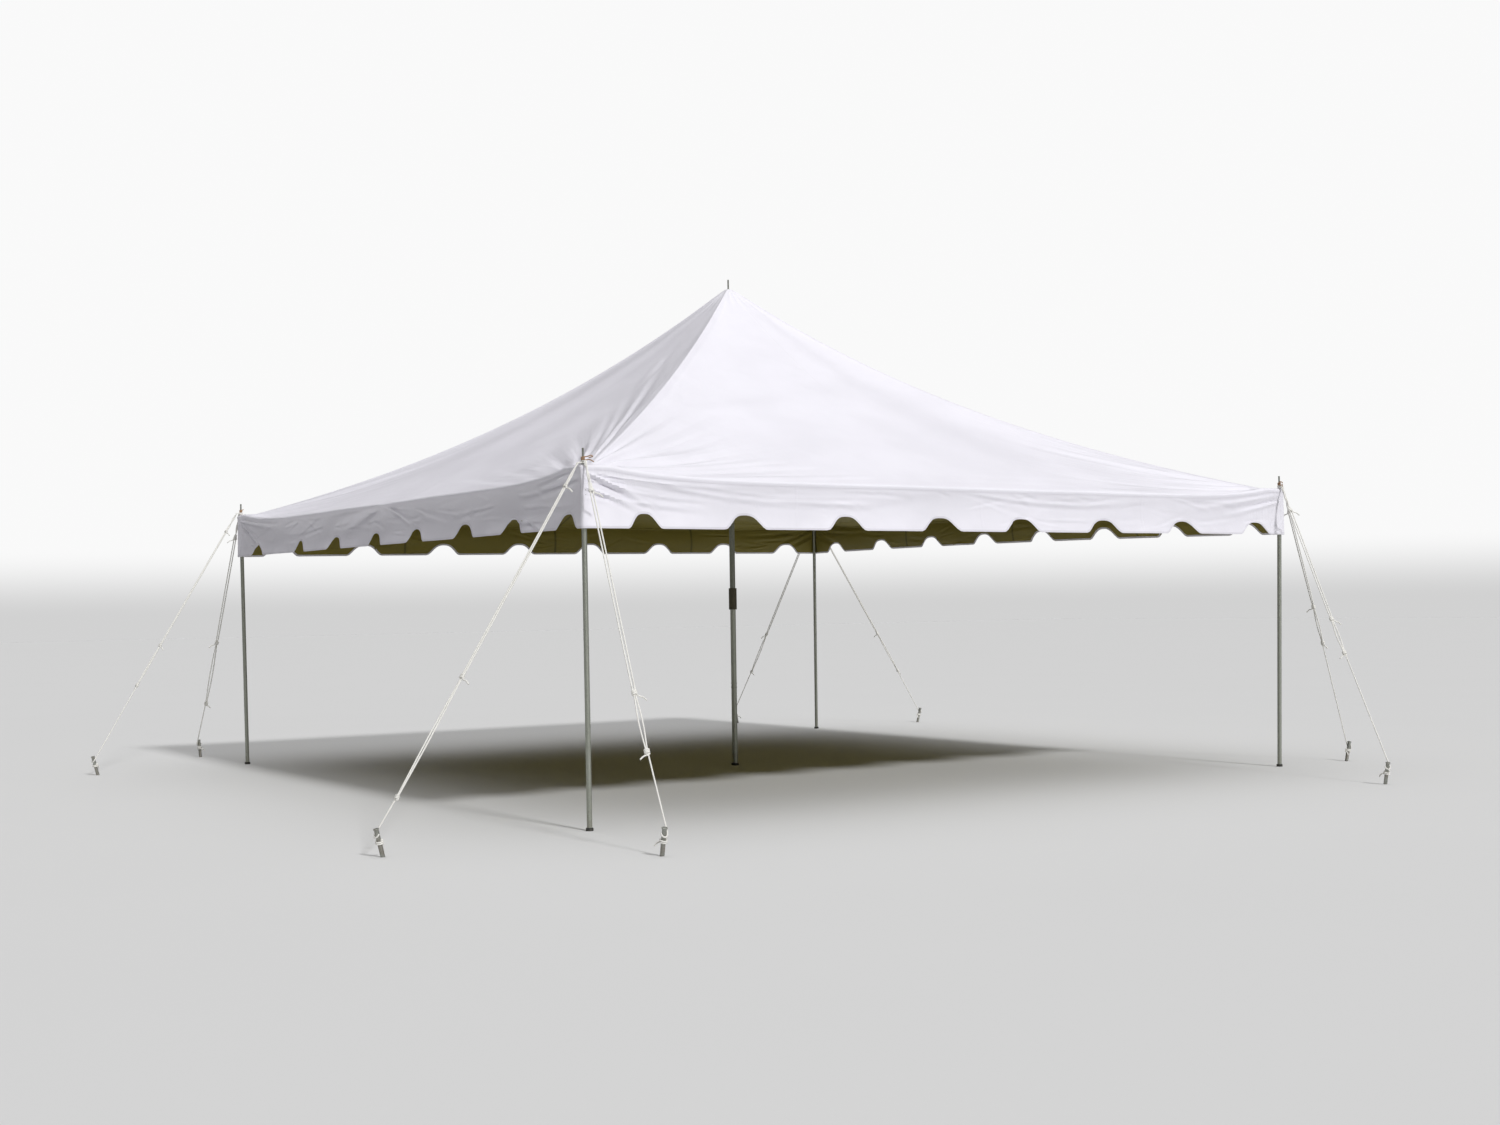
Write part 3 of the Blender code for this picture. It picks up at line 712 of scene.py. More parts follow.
def rounded(x, depth, radius):
    """A point of a square ring in plan, with the ring's corner rounded off."""
    inner = depth - np.minimum(radius, depth * 0.5)
    past = np.maximum(0.0, np.abs(x) - inner)
    angle = past / (depth - inner) * (math.pi / 4)
    bent = past > 0.0
    px = np.where(bent, np.sign(x) * (inner + (depth - inner) * np.sin(angle)), x)
    py = np.where(bent, inner + (depth - inner) * np.cos(angle), depth)
    return px, py


def turned(points, side):
    """Points of the front side's frame, turned to the given side."""
    c, s = ((1, 0), (0, 1), (-1, 0), (0, -1))[SIDES.index(side)]
    x, y = points[..., 0], points[..., 1]
    return np.stack([c * x - s * y, s * x + c * y, points[..., 2]], axis=-1)


def roof_point(side, x, depth, cloth):
    """A point of the roof, in the front side's frame."""
    over_collar = COLLAR_CLEAR * (1.0 - smoothstep(depth, 0.028, 0.060))
    z = roof_height(side, x, depth) + over_collar + cloth.wrinkles * roof_relief(side, x, depth)
    px, py = rounded(x, depth, cloth.corner_radius * np.clip(depth / EDGE, 0.15, 1.0))
    circle = 1.0 - smoothstep(depth, 0.018, 0.055)
    scale = 1.0 + circle * (depth / np.maximum(np.hypot(px, py), 1e-9) - 1.0)
    return np.stack([px * scale, -py * scale, z], axis=-1)


def eave_point(side, x, turn, cloth):
    """A point of the eave's roll: turn runs from 0 on the roof to 1 at the top of the valance."""
    lean = math.asin(1.0 - cloth.eave_start)
    rim = np.full_like(x, EDGE - cloth.eave_radius * cloth.eave_start)
    angle = lean + (math.pi / 2 - lean) * turn
    at = x * rim / EDGE
    z = roof_height(side, at, rim) + cloth.wrinkles * roof_relief(side, at, rim)
    z = z - cloth.eave_radius * (math.cos(lean) - math.cos(angle))
    out = EDGE - cloth.eave_radius * (1.0 - math.sin(angle))
    relief = cloth.wrinkles * valance_relief(side, x, z) * turn
    px, py = rounded(x * out / EDGE, np.full_like(x, out), cloth.corner_radius)
    return np.stack([px, -(py + relief), z], axis=-1)


def valance_point(side, x, z, cloth, out=0.0):
    """A point of the valance's outer face, moved outwards by out."""
    relief = cloth.wrinkles * valance_relief(side, x, z)
    px, py = rounded(x * (EDGE + out) / EDGE, np.full_like(x, EDGE + out), cloth.corner_radius)
    return np.stack([px, -(py + relief), z], axis=-1)


def valance_top(side, x, cloth):
    """Height at which the eave's roll ends and the valance hangs straight."""
    return eave_point(side, x, 1.0, cloth)[..., 2]


def columns_along(cloth, zones, middle):
    """Distances along a side for the cloth's columns: fine near its corners, coarse between."""
    places = list(np.linspace(EDGE, EDGE - cloth.corner_radius, CORNER_STEPS + 1))
    for length, spacing in zones:
        steps = round(length / spacing)
        places += list(np.linspace(places[-1], places[-1] - length, steps + 1))[1:]
    inner = places[-1]
    count = round(2.0 * inner / middle)
    count += -(2 * (len(places) - 1) + count) % 4
    between = np.linspace(-inner, inner, count + 1)[1:-1]
    return np.concatenate([[-x for x in places], between, places[::-1]])


def roof_depths(cloth):
    """Rings of the roof from the crown outwards, as depth and how many columns are merged."""
    first_end = ROOF_BANDS[0][0]
    ratio = (first_end / CROWN_START) ** (1.0 / CROWN_RINGS)
    rings = [(CROWN_START * ratio ** i, 4) for i in range(CROWN_RINGS)]
    rim = EDGE - cloth.eave_radius * cloth.eave_start
    for start, end, count, merged in ROOF_BANDS:
        rings += [(start + ((end or rim) - start) * i / count, merged) for i in range(count)]
    return rings


def piece_from(name, points, faces):
    """A new mesh object from points and faces."""
    mesh = bpy.data.meshes.new(name)
    mesh.from_pydata([tuple(p) for p in points], [], faces)
    mesh.validate()
    obj = bpy.data.objects.new(name, mesh)
    bpy.context.scene.collection.objects.link(obj)
    return obj


def only(obj):
    """Make one object the only selected one, and the active one."""
    bpy.ops.object.select_all(action="DESELECT")
    obj.select_set(True)
    bpy.context.view_layer.objects.active = obj


def apply_modifier(obj, kind, **settings):
    """Add a modifier with its settings and apply it."""
    only(obj)
    modifier = obj.modifiers.new(kind.title(), kind)
    for key, value in settings.items():
        setattr(modifier, key, value)
    bpy.ops.object.modifier_apply(modifier=modifier.name)


def smooth(obj, degrees=None):
    """Shade an object smooth, keeping edges sharper than an angle if one is given."""
    only(obj)
    if degrees is None:
        bpy.ops.object.shade_smooth()
    else:
        bpy.ops.object.shade_smooth_by_angle(angle=math.radians(degrees))


def dress(obj, slot, *materials, replaces=()):
    """Give a piece its materials and fix it to the frame; its slot is not used."""
    obj.data.materials.clear()
    for item in materials:
        obj.data.materials.append(item)
    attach(obj, BODY)
    if replaces:
        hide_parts(*replaces)
    return obj


def sheet_from(name, rings):
    """A mesh from closed rings of points all round the tent, with their places on the cloth.

    Each ring is its points, its (along, up) places and how many columns it merges; a ring with
    fewer columns is joined to the next one by three faces for each of its columns.
    """
    points, places, rows = [], [], []
    for ring_points, ring_places, merged in rings:
        rows.append((len(points), len(ring_points), merged))
        points += list(ring_points)
        places += list(ring_places)

    def place(row, column):
        """A point's number and its place; past the end of a side it counts as that side's end."""
        start, count, _ = row
        along, up = places[start + column % count]
        return start + column % count, (-along, up)

    faces, spots = [], []

    def add(corners, first):
        """Add one face from (row, column) corners; the columns after the first may end a side."""
        numbers, uvs = [], []
        for row, column in corners:
            number, mirrored = place(row, column)
            ends_side = column > first[row] and column % (row[1] // 4) == 0
            numbers.append(number)
            uvs.append(mirrored if ends_side else places[number])
        faces.append(tuple(numbers))
        spots.extend(uvs)

    for upper, lower in zip(rows, rows[1:]):
        ratio = upper[2] // lower[2]
        for i in range(upper[1]):
            first = {upper: i, lower: i * ratio}
            here, after = (upper, i), (upper, i + 1)
            below = [(lower, i * ratio + j) for j in range(ratio + 1)]
            if ratio == 1:
                add((here, below[0], below[1], after), first)
            else:
                add((here, below[0], below[1]), first)
                add((here, below[1], after), first)
                add((after, below[1], below[2]), first)
    obj = piece_from(name, points, faces)
    layer = obj.data.uv_layers.new(name="cloth")
    layer.data.foreach_set("uv", [value for spot in spots for value in spot])
    return obj


def all_round(make):
    """Points and cloth places of one ring, from a function that gives them for one side."""
    points, places = [], []
    for side in SIDES:
        side_points, along, up = make(side)
        points += list(turned(side_points, side))
        places += list(zip(along, np.broadcast_to(up, along.shape)))
    return points, places


def roof_rings(cloth):
    """The roof's rings, then those of the eave's roll and of the lap over the valance."""
    columns = columns_along(cloth, ROOF_COLUMNS, ROOF_MIDDLE)[:-1]
    rim = EDGE - cloth.eave_radius * cloth.eave_start
    for depth, merged in roof_depths(cloth):
        def on_roof(side, depth=depth, merged=merged):
            at = columns[::merged] * depth / EDGE
            points = roof_point(side, at, np.full_like(at, depth), cloth)
            return points, at, 0.09 + (rim - depth)
        yield (*all_round(on_roof), merged)
    for i in range(EAVE_STEPS + 1):
        def on_eave(side, turn=i / EAVE_STEPS):
            return eave_point(side, columns, turn, cloth), columns, 0.09 - 0.06 * turn
        yield (*all_round(on_eave), 1)
    for drop in np.linspace(0.0, cloth.lap, LAP_STEPS + 1)[1:]:
        def on_lap(side, drop=drop):
            z = valance_top(side, columns, cloth) - drop
            return valance_point(side, columns, z, cloth), columns, cloth.lap - drop
        yield (*all_round(on_lap), 1)


def valance_rings(cloth):
    """The valance's rings, from behind the lap down to the scalloped edge."""
    columns = columns_along(cloth, VALANCE_COLUMNS, VALANCE_MIDDLE)[:-1]
    for share in np.linspace(0.0, 1.0, VALANCE_ROWS + 1):
        def hanging(side, share=share):
            start = valance_top(side, columns, cloth) - cloth.lap * 0.35
            bottom = valance_bottom(side, columns)
            z = start + (bottom - start) * share
            points = valance_point(side, columns, z, cloth, -cloth.thickness - LAYER_GAP)
            return points, columns, z - bottom
        yield (*all_round(hanging), 1)


def binding_rings(cloth):
    """The tape that binds the scallops, as closed rings round the tent from its outer edge."""
    columns = columns_along(cloth, VALANCE_COLUMNS, VALANCE_MIDDLE)[:-1]
    middle = -cloth.thickness * 1.5 - LAYER_GAP
    thick = cloth.thickness / 2 + 0.0012
    section = ((cloth.binding, 1.0), (0.0010, 1.0), (-0.0010, 0.6), (-0.0010, -0.6),
               (0.0010, -1.0), (cloth.binding, -1.0), (cloth.binding, 1.0))
    for rise, out in section:
        def edge(side, rise=rise, out=out):
            slope = np.gradient(valance_bottom(side, columns), columns)
            steep = np.hypot(slope, 1.0)
            x = np.clip(columns - slope / steep * rise, -EDGE, EDGE)
            z = valance_bottom(side, columns) + rise / steep
            return valance_point(side, x, z, cloth, middle + out * thick), columns, z
        yield (*all_round(edge), 1)


def sweep(name, path, radius, sides=12, lobes=0, lobe_depth=0.0, lay=0.04, closed=False, flat=1.0):
    """A round or stranded tube along a path, with its own coordinates: turn and length."""
    count = len(path)
    tangents = []
    for i in range(count):
        before = path[i - 1] if closed or i else path[0]
        after = path[(i + 1) % count] if closed or i < count - 1 else path[-1]
        tangents.append((after - before).normalized())
    normal = tangents[0].orthogonal().normalized()
    points, lengths, travelled = [], [], 0.0
    for i in range(count):
        if i:
            travelled += (path[i] - path[i - 1]).length
            normal = tangents[i - 1].rotation_difference(tangents[i]) @ normal
        normal = (normal - tangents[i] * normal.dot(tangents[i])).normalized()
        side = tangents[i].cross(normal)
        lengths.append(travelled)
        for j in range(sides):
            angle = 2.0 * math.pi * j / sides
            swell = 1.0 + lobe_depth * math.cos(lobes * (angle - 2.0 * math.pi * travelled / lay))
            away = normal * math.cos(angle) + side * math.sin(angle) * flat
            points.append(path[i] + away * radius * swell)
    faces = []
    for i in range(count if closed else count - 1):
        a, b = i * sides, ((i + 1) % count) * sides
        for j in range(sides):
            k = (j + 1) % sides
            faces.append((a + j, a + k, b + k, b + j))
    if not closed:
        faces.append(tuple(reversed(range(sides))))
        faces.append(tuple(range((count - 1) * sides, count * sides)))
    obj = piece_from(name, points, faces)
    layer = obj.data.uv_layers.new(name="rope")
    for polygon in obj.data.polygons:
        ids = [obj.data.loops[i].vertex_index for i in polygon.loop_indices]
        for i, v in zip(polygon.loop_indices, ids):
            ring, turn = divmod(v, sides)
            share = turn / sides
            if turn == 0 and any(w % sides > sides / 2 for w in ids):
                share = 1.0
            layer.data[i].uv = (share - lengths[ring] / lay, lengths[ring])
    return obj


def joined(name, parts):
    """Join several objects into one, under one name."""
    only(parts[0])
    for part in parts:
        part.select_set(True)
    if len(parts) > 1:
        bpy.ops.object.join()
    obj = bpy.context.view_layer.objects.active
    obj.name = name
    obj.data.name = name
    return obj


class TENT_OT_canopy(bpy.types.Operator):
    """Model the roof's cloth, the valance's cloth and the tape round its scallops"""

    bl_idname = "tent.canopy"
    bl_label = "Canopy"

    def execute(self, context):
        cloth = context.scene.tent_cloth
        colours = context.scene.tent_colours
        outside = material("cloth_outside", cloth_material, colours.outside, 0.0, 0.45)
        # The underside's dark olive colour is painted shade and painted green bounce light from the
        # ground
        inside = material("cloth_inside", cloth_material, colours.inside, 0.75, 0.25)
        edging = material("binding_tape", cloth_material, tint(colours.outside, 0.9), 0.0, 0.3)
        roof = sheet_from("canopy_roof", roof_rings(cloth))
        valance = sheet_from("canopy_valance", valance_rings(cloth))
        for obj, part in ((roof, "roof_"), (valance, "valance_")):
            dress(obj, "canopy", outside, inside, replaces=[part + side for side in SIDES])
            apply_modifier(obj, "SOLIDIFY", thickness=cloth.thickness, offset=-1.0, use_rim=True,
                           material_offset=1, material_offset_rim=0)
            smooth(obj, 50.0)
        binding = sheet_from("scallop_binding", binding_rings(cloth))
        apply_modifier(binding, "WELD", merge_threshold=0.00005)
        smooth(binding, 50.0)
        dress(binding, "canopy", edging)
        return {"FINISHED"}


def ribbon(name, rows, thickness):
    """A closed strip from rows of points across it, given its thickness downwards."""
    wide = len(rows[0])
    points = [p for row in rows for p in row]
    faces = []
    for i in range(len(rows) - 1):
        for j in range(wide - 1):
            a = i * wide + j
            faces.append((a, a + wide, a + wide + 1, a + 1))
    obj = piece_from(name, points, faces)
    apply_modifier(obj, "SOLIDIFY", thickness=thickness, offset=-1.0, use_rim=True)
    smooth(obj, 40.0)
    return obj


def hip_row(side, depth, half, lift, cloth):
    """Points across a hip seam at one depth, from this side over the hip to the next side."""
    steps = np.linspace(0.0, half, 4)
    near = np.minimum(depth - 1e-5, depth - steps[::-1])
    first = turned(roof_point(side, near, np.full_like(near, depth), cloth), side)
    nearer = -near[::-1][1:]
    next_side = SIDES[(SIDES.index(side) + 1) % 4]
    second = turned(roof_point(next_side, nearer, np.full_like(nearer, depth), cloth), next_side)
    row = np.concatenate([first, second])
    row[:, 2] += lift
    return [Vector(p) for p in row]


class TENT_OT_seams(bpy.types.Operator):
    """Model the tapes over the four hip seams"""

    bl_idname = "tent.seams"
    bl_label = "Hip seams and crown"

    def execute(self, context):
        cloth = context.scene.tent_cloth
        colours = context.scene.tent_colours
        outside = material("cloth_outside", cloth_material, colours.outside, 0.0, 0.45)
        depths = np.concatenate([np.linspace(0.09, 2.4, 60), np.linspace(2.43, EDGE - 0.03, 30)])
        for side, corner in zip(SIDES, CORNERS):
            rows = [hip_row(side, d, cloth.seam_width / 2, 0.0016, cloth) for d in depths]
            tape = ribbon("hip_seam_" + corner, rows, 0.0013)
            dress(tape, "canopy", outside)
        return {"FINISHED"}


class TENT_OT_poles(bpy.types.Operator):
    """Give the corner poles and the centre pole, with their joints, sleeve, caps and pins, their
    finishes
    """

    bl_idname = "tent.poles"
    bl_label = "Poles"

    def execute(self, context):
        colours = context.scene.tent_colours
        steel = material("galvanised", steel_material, colours.steel, 140.0, 0.15)
        pin_steel = material("pin_steel", steel_material, tint(colours.steel, 0.8), 300.0, 0.3)
        # A darker copy of the galvanised steel with much rust: the rust is wear, the darkening is
        # painted shade
        worn = material("worn_steel", steel_material, tint(colours.steel, 0.62), 90.0, 0.8)
        sleeve = material("sleeve_paint", painted_material, colours.sleeve)
        rubber = material("cap_rubber", rubber_material, colours.rubber)
        for name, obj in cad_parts.items():
            if "sleeve" in name:
                chosen = sleeve
            elif "foot_cap" in name:
                chosen = rubber
            elif "pin" in name:
                chosen = pin_steel
            # The tube above the sleeve gets the darker steel as painted shade under the canopy, with
            # rust
            elif name == "centre_pole_upper":
                chosen = worn
            elif "pole" in name:
                chosen = steel
            else:
                continue
            obj.data.materials.clear()
            obj.data.materials.append(chosen)
        return {"FINISHED"}


def cad_axis(node):
    """Foot, top and direction of a straight CAD bar, from its own points."""
    points = np.array([v.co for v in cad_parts[node].data.vertices])
    low = points[:, 2].min()
    high = points[:, 2].max()
    foot = points[points[:, 2] < low + 1e-4]
    head = points[points[:, 2] > high - 0.012]
    foot = Vector((foot.min(0) + foot.max(0)) / 2)
    head = Vector((head.min(0) + head.max(0)) / 2)
    return foot, head, (head - foot).normalized()


def smooth_path(points, step):
    """A smooth curve through the points, with a point about every step."""
    ends = [points[0] * 2 - points[1], *points, points[-1] * 2 - points[-2]]
    path = []
    for p0, p1, p2, p3 in zip(ends, ends[1:], ends[2:], ends[3:]):
        count = max(1, round((p2 - p1).length / step))
        for i in range(count):
            t = i / count
            path.append(0.5 * ((2 * p1) + (p2 - p0) * t + (2 * p0 - 5 * p1 + 4 * p2 - p3) * t * t
                               + (3 * p1 - p0 - 3 * p2 + p3) * t ** 3))
    path.append(points[-1])
    return path


def arc(centre, first, second, start, end, count):
    """Points on an ellipse about a centre, from its two half axes."""
    angles = [start + (end - start) * i / count for i in range(count + 1)]
    return [centre + first * math.cos(a) + second * math.sin(a) for a in angles]


class RopeRoute:
    """The places that one guy rope passes: pin, canopy edge, knots and stake."""

    def __init__(self, name, knot_a, knot_b, twisted, layer, ropes):
        corner = name.rsplit("_", 1)[0]
        self.radius = ropes.radius
        pin = PIN_AT[corner]
        foot, _head, axis = cad_axis("stake_" + name)
        self.up = Vector((0.0, 0.0, 1.0))
        self.out = Vector((foot.x - pin.x, foot.y - pin.y, 0.0)).normalized()
        self.across = Vector((-self.out.y, self.out.x, 0.0))
        level = CORNER_TOP + self.radius + 0.0055 + layer * (2.0 * self.radius + 0.0006)
        self.eye = PIN_RADIUS + self.radius + 0.0006
        self.seat = Vector((pin.x, pin.y, level))
        reach = min((EDGE - abs(p)) / (d * math.copysign(1.0, p))
                    for p, d in zip(pin.xy, self.out.xy) if d * p > 0.0)
        self.bend = self.seat + self.out * (reach + 0.010)
        self.axis = axis
        self.target = foot + axis * (LOOP_HEIGHT / axis.z)
        self.fall = (self.target - self.bend).normalized()
        self.length = (self.target - self.bend).length
        self.side_gap = STAKE_RADIUS + self.radius + 0.0009
        self.far_gap = self.side_gap / math.sin(self.fall.angle(axis))
        self.knot_a = self.length * knot_a
        self.knot_b = self.length * knot_b
        self.twisted = twisted
        self.spread = ropes.spread

    def at(self, along, sideways=0.0, lifted=0.0):
        """A point by its distance down the rope from the canopy's edge."""
        raised = self.fall.cross(self.across).normalized()
        return self.bend + self.fall * along + self.across * sideways + raised * lifted


def rope_strands(route):
    """The two long runs of a rope, as lists of points."""
    r = route.radius * 1.02
    top, strands = [], []
    half_eye = arc(route.seat, route.across * route.eye, route.out * -route.eye, 0.0, math.pi, 14)
    for sign in (1, -1):
        run = []
        turns = max(1, round(route.twisted / 0.11))
        steps = turns * 10
        for i in range(1, steps + 1):
            share = i / steps
            turn = math.pi * turns * share
            run.append(route.at(route.twisted * share, sign * r * math.cos(turn),
                                sign * r * math.sin(turn)))
        sign_end = sign if turns % 2 == 0 else -sign
        wide = route.spread * sign_end
        run += [route.at(route.twisted + 0.06, wide), route.at(route.knot_a - 0.12, wide),
                route.at(route.knot_a - 0.02, r * sign_end), route.at(route.knot_a + 0.02, r * sign_end)]
        middle = (route.knot_a + route.knot_b) / 2
        run += [route.at(middle, 0.012 * sign_end), route.at(route.knot_b - 0.02, r * sign_end),
                route.at(route.knot_b + 0.02, r * sign_end)]
        top.append([route.at(0.0, sign * r)])
        strands.append((run, sign_end))
    loop = arc(route.target, route.across * route.side_gap, route.fall * route.far_gap,
               0.0, math.pi, 14)
    if strands[0][1] < 0:
        loop = arc(route.target, route.across * -route.side_gap, route.fall * route.far_gap,
                   0.0, math.pi, 14)
    path = list(reversed(strands[1][0])) + [route.at(0.0, -r)] + list(reversed(half_eye))
    path += [route.at(0.0, r)] + strands[0][0] + loop
    return path


def wraps(route, along, turns, tail_sign):
    """A hitch: a strand wound round both runs, with its tail."""
    r = route.radius
    wide, high = 3.0 * r, 2.0 * r
    points = []
    steps = turns * 12
    for i in range(steps + 1):
        share = i / steps
        turn = 2.0 * math.pi * turns * share
        points.append(route.at(along + (share - 0.5) * turns * 1.9 * r, wide * math.cos(turn),
                               high * math.sin(turn)))
    end = points[-1]
    way = (route.across * tail_sign + route.up * -0.25).normalized()
    points += [end + way * 0.012 + route.fall * 0.004, end + way * 0.035 - route.up * 0.004,
               end + way * 0.058 - route.up * 0.016]
    return points


def hitch(route):
    """Two turns of rope round the stake under the loop, with a loose end."""
    reach = STAKE_RADIUS + route.radius + 0.0006
    start = route.target - route.axis * 0.036
    first, second = route.across, route.axis.cross(route.across)
    points = []
    for i in range(27):
        turn = 2.0 * math.pi * i / 12
        points.append(start + (first * math.cos(turn) + second * math.sin(turn)) * reach
                      - route.axis * (2.1 * route.radius * i / 12))
    way = second * math.cos(turn) - first * math.sin(turn)
    end = points[-1]
    return points + [end + way * 0.020 - route.up * 0.003, end + way * 0.040 - route.up * 0.014,
                     end + way * 0.050 - route.up * 0.030]


class TENT_OT_ropes(bpy.types.Operator):
    """Model the eight doubled guy ropes with their twists, hitches and loops"""

    bl_idname = "tent.ropes"
    bl_label = "Guy ropes"

    def execute(self, context):
        ropes = context.scene.tent_ropes
        colours = context.scene.tent_colours
        finish = material("rope", rope_material, colours.rope, colours.stain)
        used = []
        for name, knot_a, knot_b, twisted in ROPES:
            corner = name.rsplit("_", 1)[0]
            route = RopeRoute(name, knot_a, knot_b, twisted, used.count(corner), ropes)
            used.append(corner)
            runs = [rope_strands(route), wraps(route, route.knot_a, 3, 1),
                    wraps(route, route.knot_b, 3, -1), wraps(route, route.twisted + 0.01, 2, 1),
                    hitch(route)]
            parts = []
            for i, run in enumerate(runs):
                path = smooth_path(run, 0.006)
                parts.append(sweep("%s_%d" % (name, i), path, ropes.radius, 12, 3, 0.085,
                                   ropes.lay))
            obj = joined("rope_" + name, parts)
            smooth(obj)
            dress(obj, "rope", finish, replaces=["guy_rope_" + name])
        tan = material("rope_stained", rope_material, colours.stain, tint(colours.stain, 0.6))
        for corner in CORNERS:
            obj = lashing(corner, ropes.radius)
            smooth(obj)
            dress(obj, "rope", tan)
        return {"FINISHED"}


def lashing(corner, radius):
    """A short cord wound round a pin over the guy ropes' eyes, with a bow and two loose ends."""
    pin = PIN_AT[corner]
    away = Vector((-pin.x, pin.y, 0.0)).normalized()
    side = Vector((-away.y, away.x, 0.0))
    low = Vector((pin.x, pin.y, CORNER_TOP + 0.0055 + 4.2 * radius + 0.0020))
    reach = PIN_RADIUS + radius * 0.75 + 0.0006
    points = [low + away * 0.062 + side * 0.016 + Vector((0.0, 0.0, -0.010)),
              low + away * 0.034 + side * 0.022 + Vector((0.0, 0.0, 0.004))]
    for i in range(LASHING_TURNS * 12 + 1):
        turn = 2.0 * math.pi * i / 12
        rise = Vector((0.0, 0.0, radius * 1.60 * i / 12))
        points.append(low + away * math.cos(turn + 1.2) * reach + side * math.sin(turn + 1.2) * reach
                      + rise)
    top = points[-1]
    points += [top + away * 0.020 - side * 0.006, top + away * 0.044 - side * 0.008
               + Vector((0.0, 0.0, 0.006)), top + away * 0.050 + side * 0.008,
               top + away * 0.026 + side * 0.010 - Vector((0.0, 0.0, 0.006))]
    path = smooth_path(points, 0.003)
    return sweep("lashing_" + corner, path, radius * 0.75, 10, 3, 0.085, 0.028)


class TENT_OT_stakes(bpy.types.Operator):
    """Finish the stakes as worn steel"""

    bl_idname = "tent.stakes"
    bl_label = "Stakes"

    def execute(self, context):
        colours = context.scene.tent_colours
        finish = material("stake_steel", steel_material, colours.stake, 90.0, 0.25)
        for name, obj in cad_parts.items():
            if name.startswith("stake_"):
                obj.data.materials.clear()
                obj.data.materials.append(finish)
        return {"FINISHED"}


def corner_points(corner, first, second, lift, cloth):
    """Points over the roof near a corner, from their distances in from its two eaves."""
    turn = CORNERS.index(corner)
    side, after = SIDES[turn], SIDES[(turn + 1) % 4]
    a, b = EDGE - first, EDGE - second
    near = np.minimum(a, b)
    here = turned(roof_point(side, near, b, cloth), side)
    there = turned(roof_point(after, -near, a, cloth), after)
    points = np.where((b >= a)[..., None], here, there)
    points[..., 2] += lift
    return points


def patch_sheet(name, corner, lift, cloth):
    """A doubled piece of cloth over one corner, with a hole for its pin."""
    pin = EDGE - PIN_REACH
    angles = np.linspace(0.0, 2.0 * math.pi, PATCH_SPOKES, endpoint=False)
    c, s = np.cos(angles), np.sin(angles)
    with np.errstate(divide="ignore"):
        limits = [np.where(c < 0.0, (PATCH_MARGIN - pin) / c, 9.0),
                  np.where(s < 0.0, (PATCH_MARGIN - pin) / s, 9.0),
                  np.where(c > 0.0, (PATCH_LEG - pin) / c, 9.0),
                  np.where(s > 0.0, (PATCH_LEG - pin) / s, 9.0),
                  np.where(c + s > 0.0, (PATCH_SLANT - 2.0 * pin) / (c + s), 9.0)]
    reach = np.min(limits, axis=0)
    points, faces = [], []
    for share in np.linspace(0.0, 1.0, PATCH_RINGS + 1) ** 1.2:
        away = PIN_HOLE + (reach - PIN_HOLE) * share
        points += list(corner_points(corner, pin + away * c, pin + away * s, lift, cloth))
    for i in range(PATCH_RINGS):
        for j in range(PATCH_SPOKES):
            k = (j + 1) % PATCH_SPOKES
            a, b = i * PATCH_SPOKES, (i + 1) * PATCH_SPOKES
            faces.append((a + j, b + j, b + k, a + k))
    obj = piece_from(name, points, faces)
    only(obj)
    bpy.ops.object.mode_set(mode="EDIT")
    bpy.ops.mesh.select_all(action="SELECT")
    bpy.ops.mesh.normals_make_consistent(inside=False)
    bpy.ops.object.mode_set(mode="OBJECT")
    if obj.data.polygons[0].normal.z < 0.0:
        obj.data.flip_normals()
    apply_modifier(obj, "SOLIDIFY", thickness=PATCH_THICK, offset=-1.0, use_rim=True)
    return obj


def rolled_ring(name, place, radius, wide, high):
    """A rolled metal ring: an oval section spun round a vertical line."""
    bpy.ops.object.select_all(action="DESELECT")
    bpy.ops.mesh.primitive_circle_add(vertices=12, radius=1.0, location=place,
                                      rotation=(math.pi / 2, 0.0, 0.0))
    bpy.ops.object.transform_apply(location=True, rotation=True, scale=True)
    bpy.ops.object.mode_set(mode="EDIT")
    bpy.ops.mesh.select_all(action="SELECT")
    bpy.ops.transform.resize(value=(wide, 1.0, high), center_override=place)
    bpy.ops.transform.translate(value=(radius, 0.0, 0.0))
    bpy.ops.mesh.spin(steps=40, angle=2.0 * math.pi, center=place, axis=(0.0, 0.0, 1.0))
    bpy.ops.mesh.select_all(action="SELECT")
    bpy.ops.mesh.remove_doubles(threshold=0.00001)
    bpy.ops.mesh.normals_make_consistent(inside=False)
    bpy.ops.object.mode_set(mode="OBJECT")
    bpy.context.object.name = name
    bpy.context.object.data.name = name
    smooth(bpy.context.object)
    return bpy.context.object


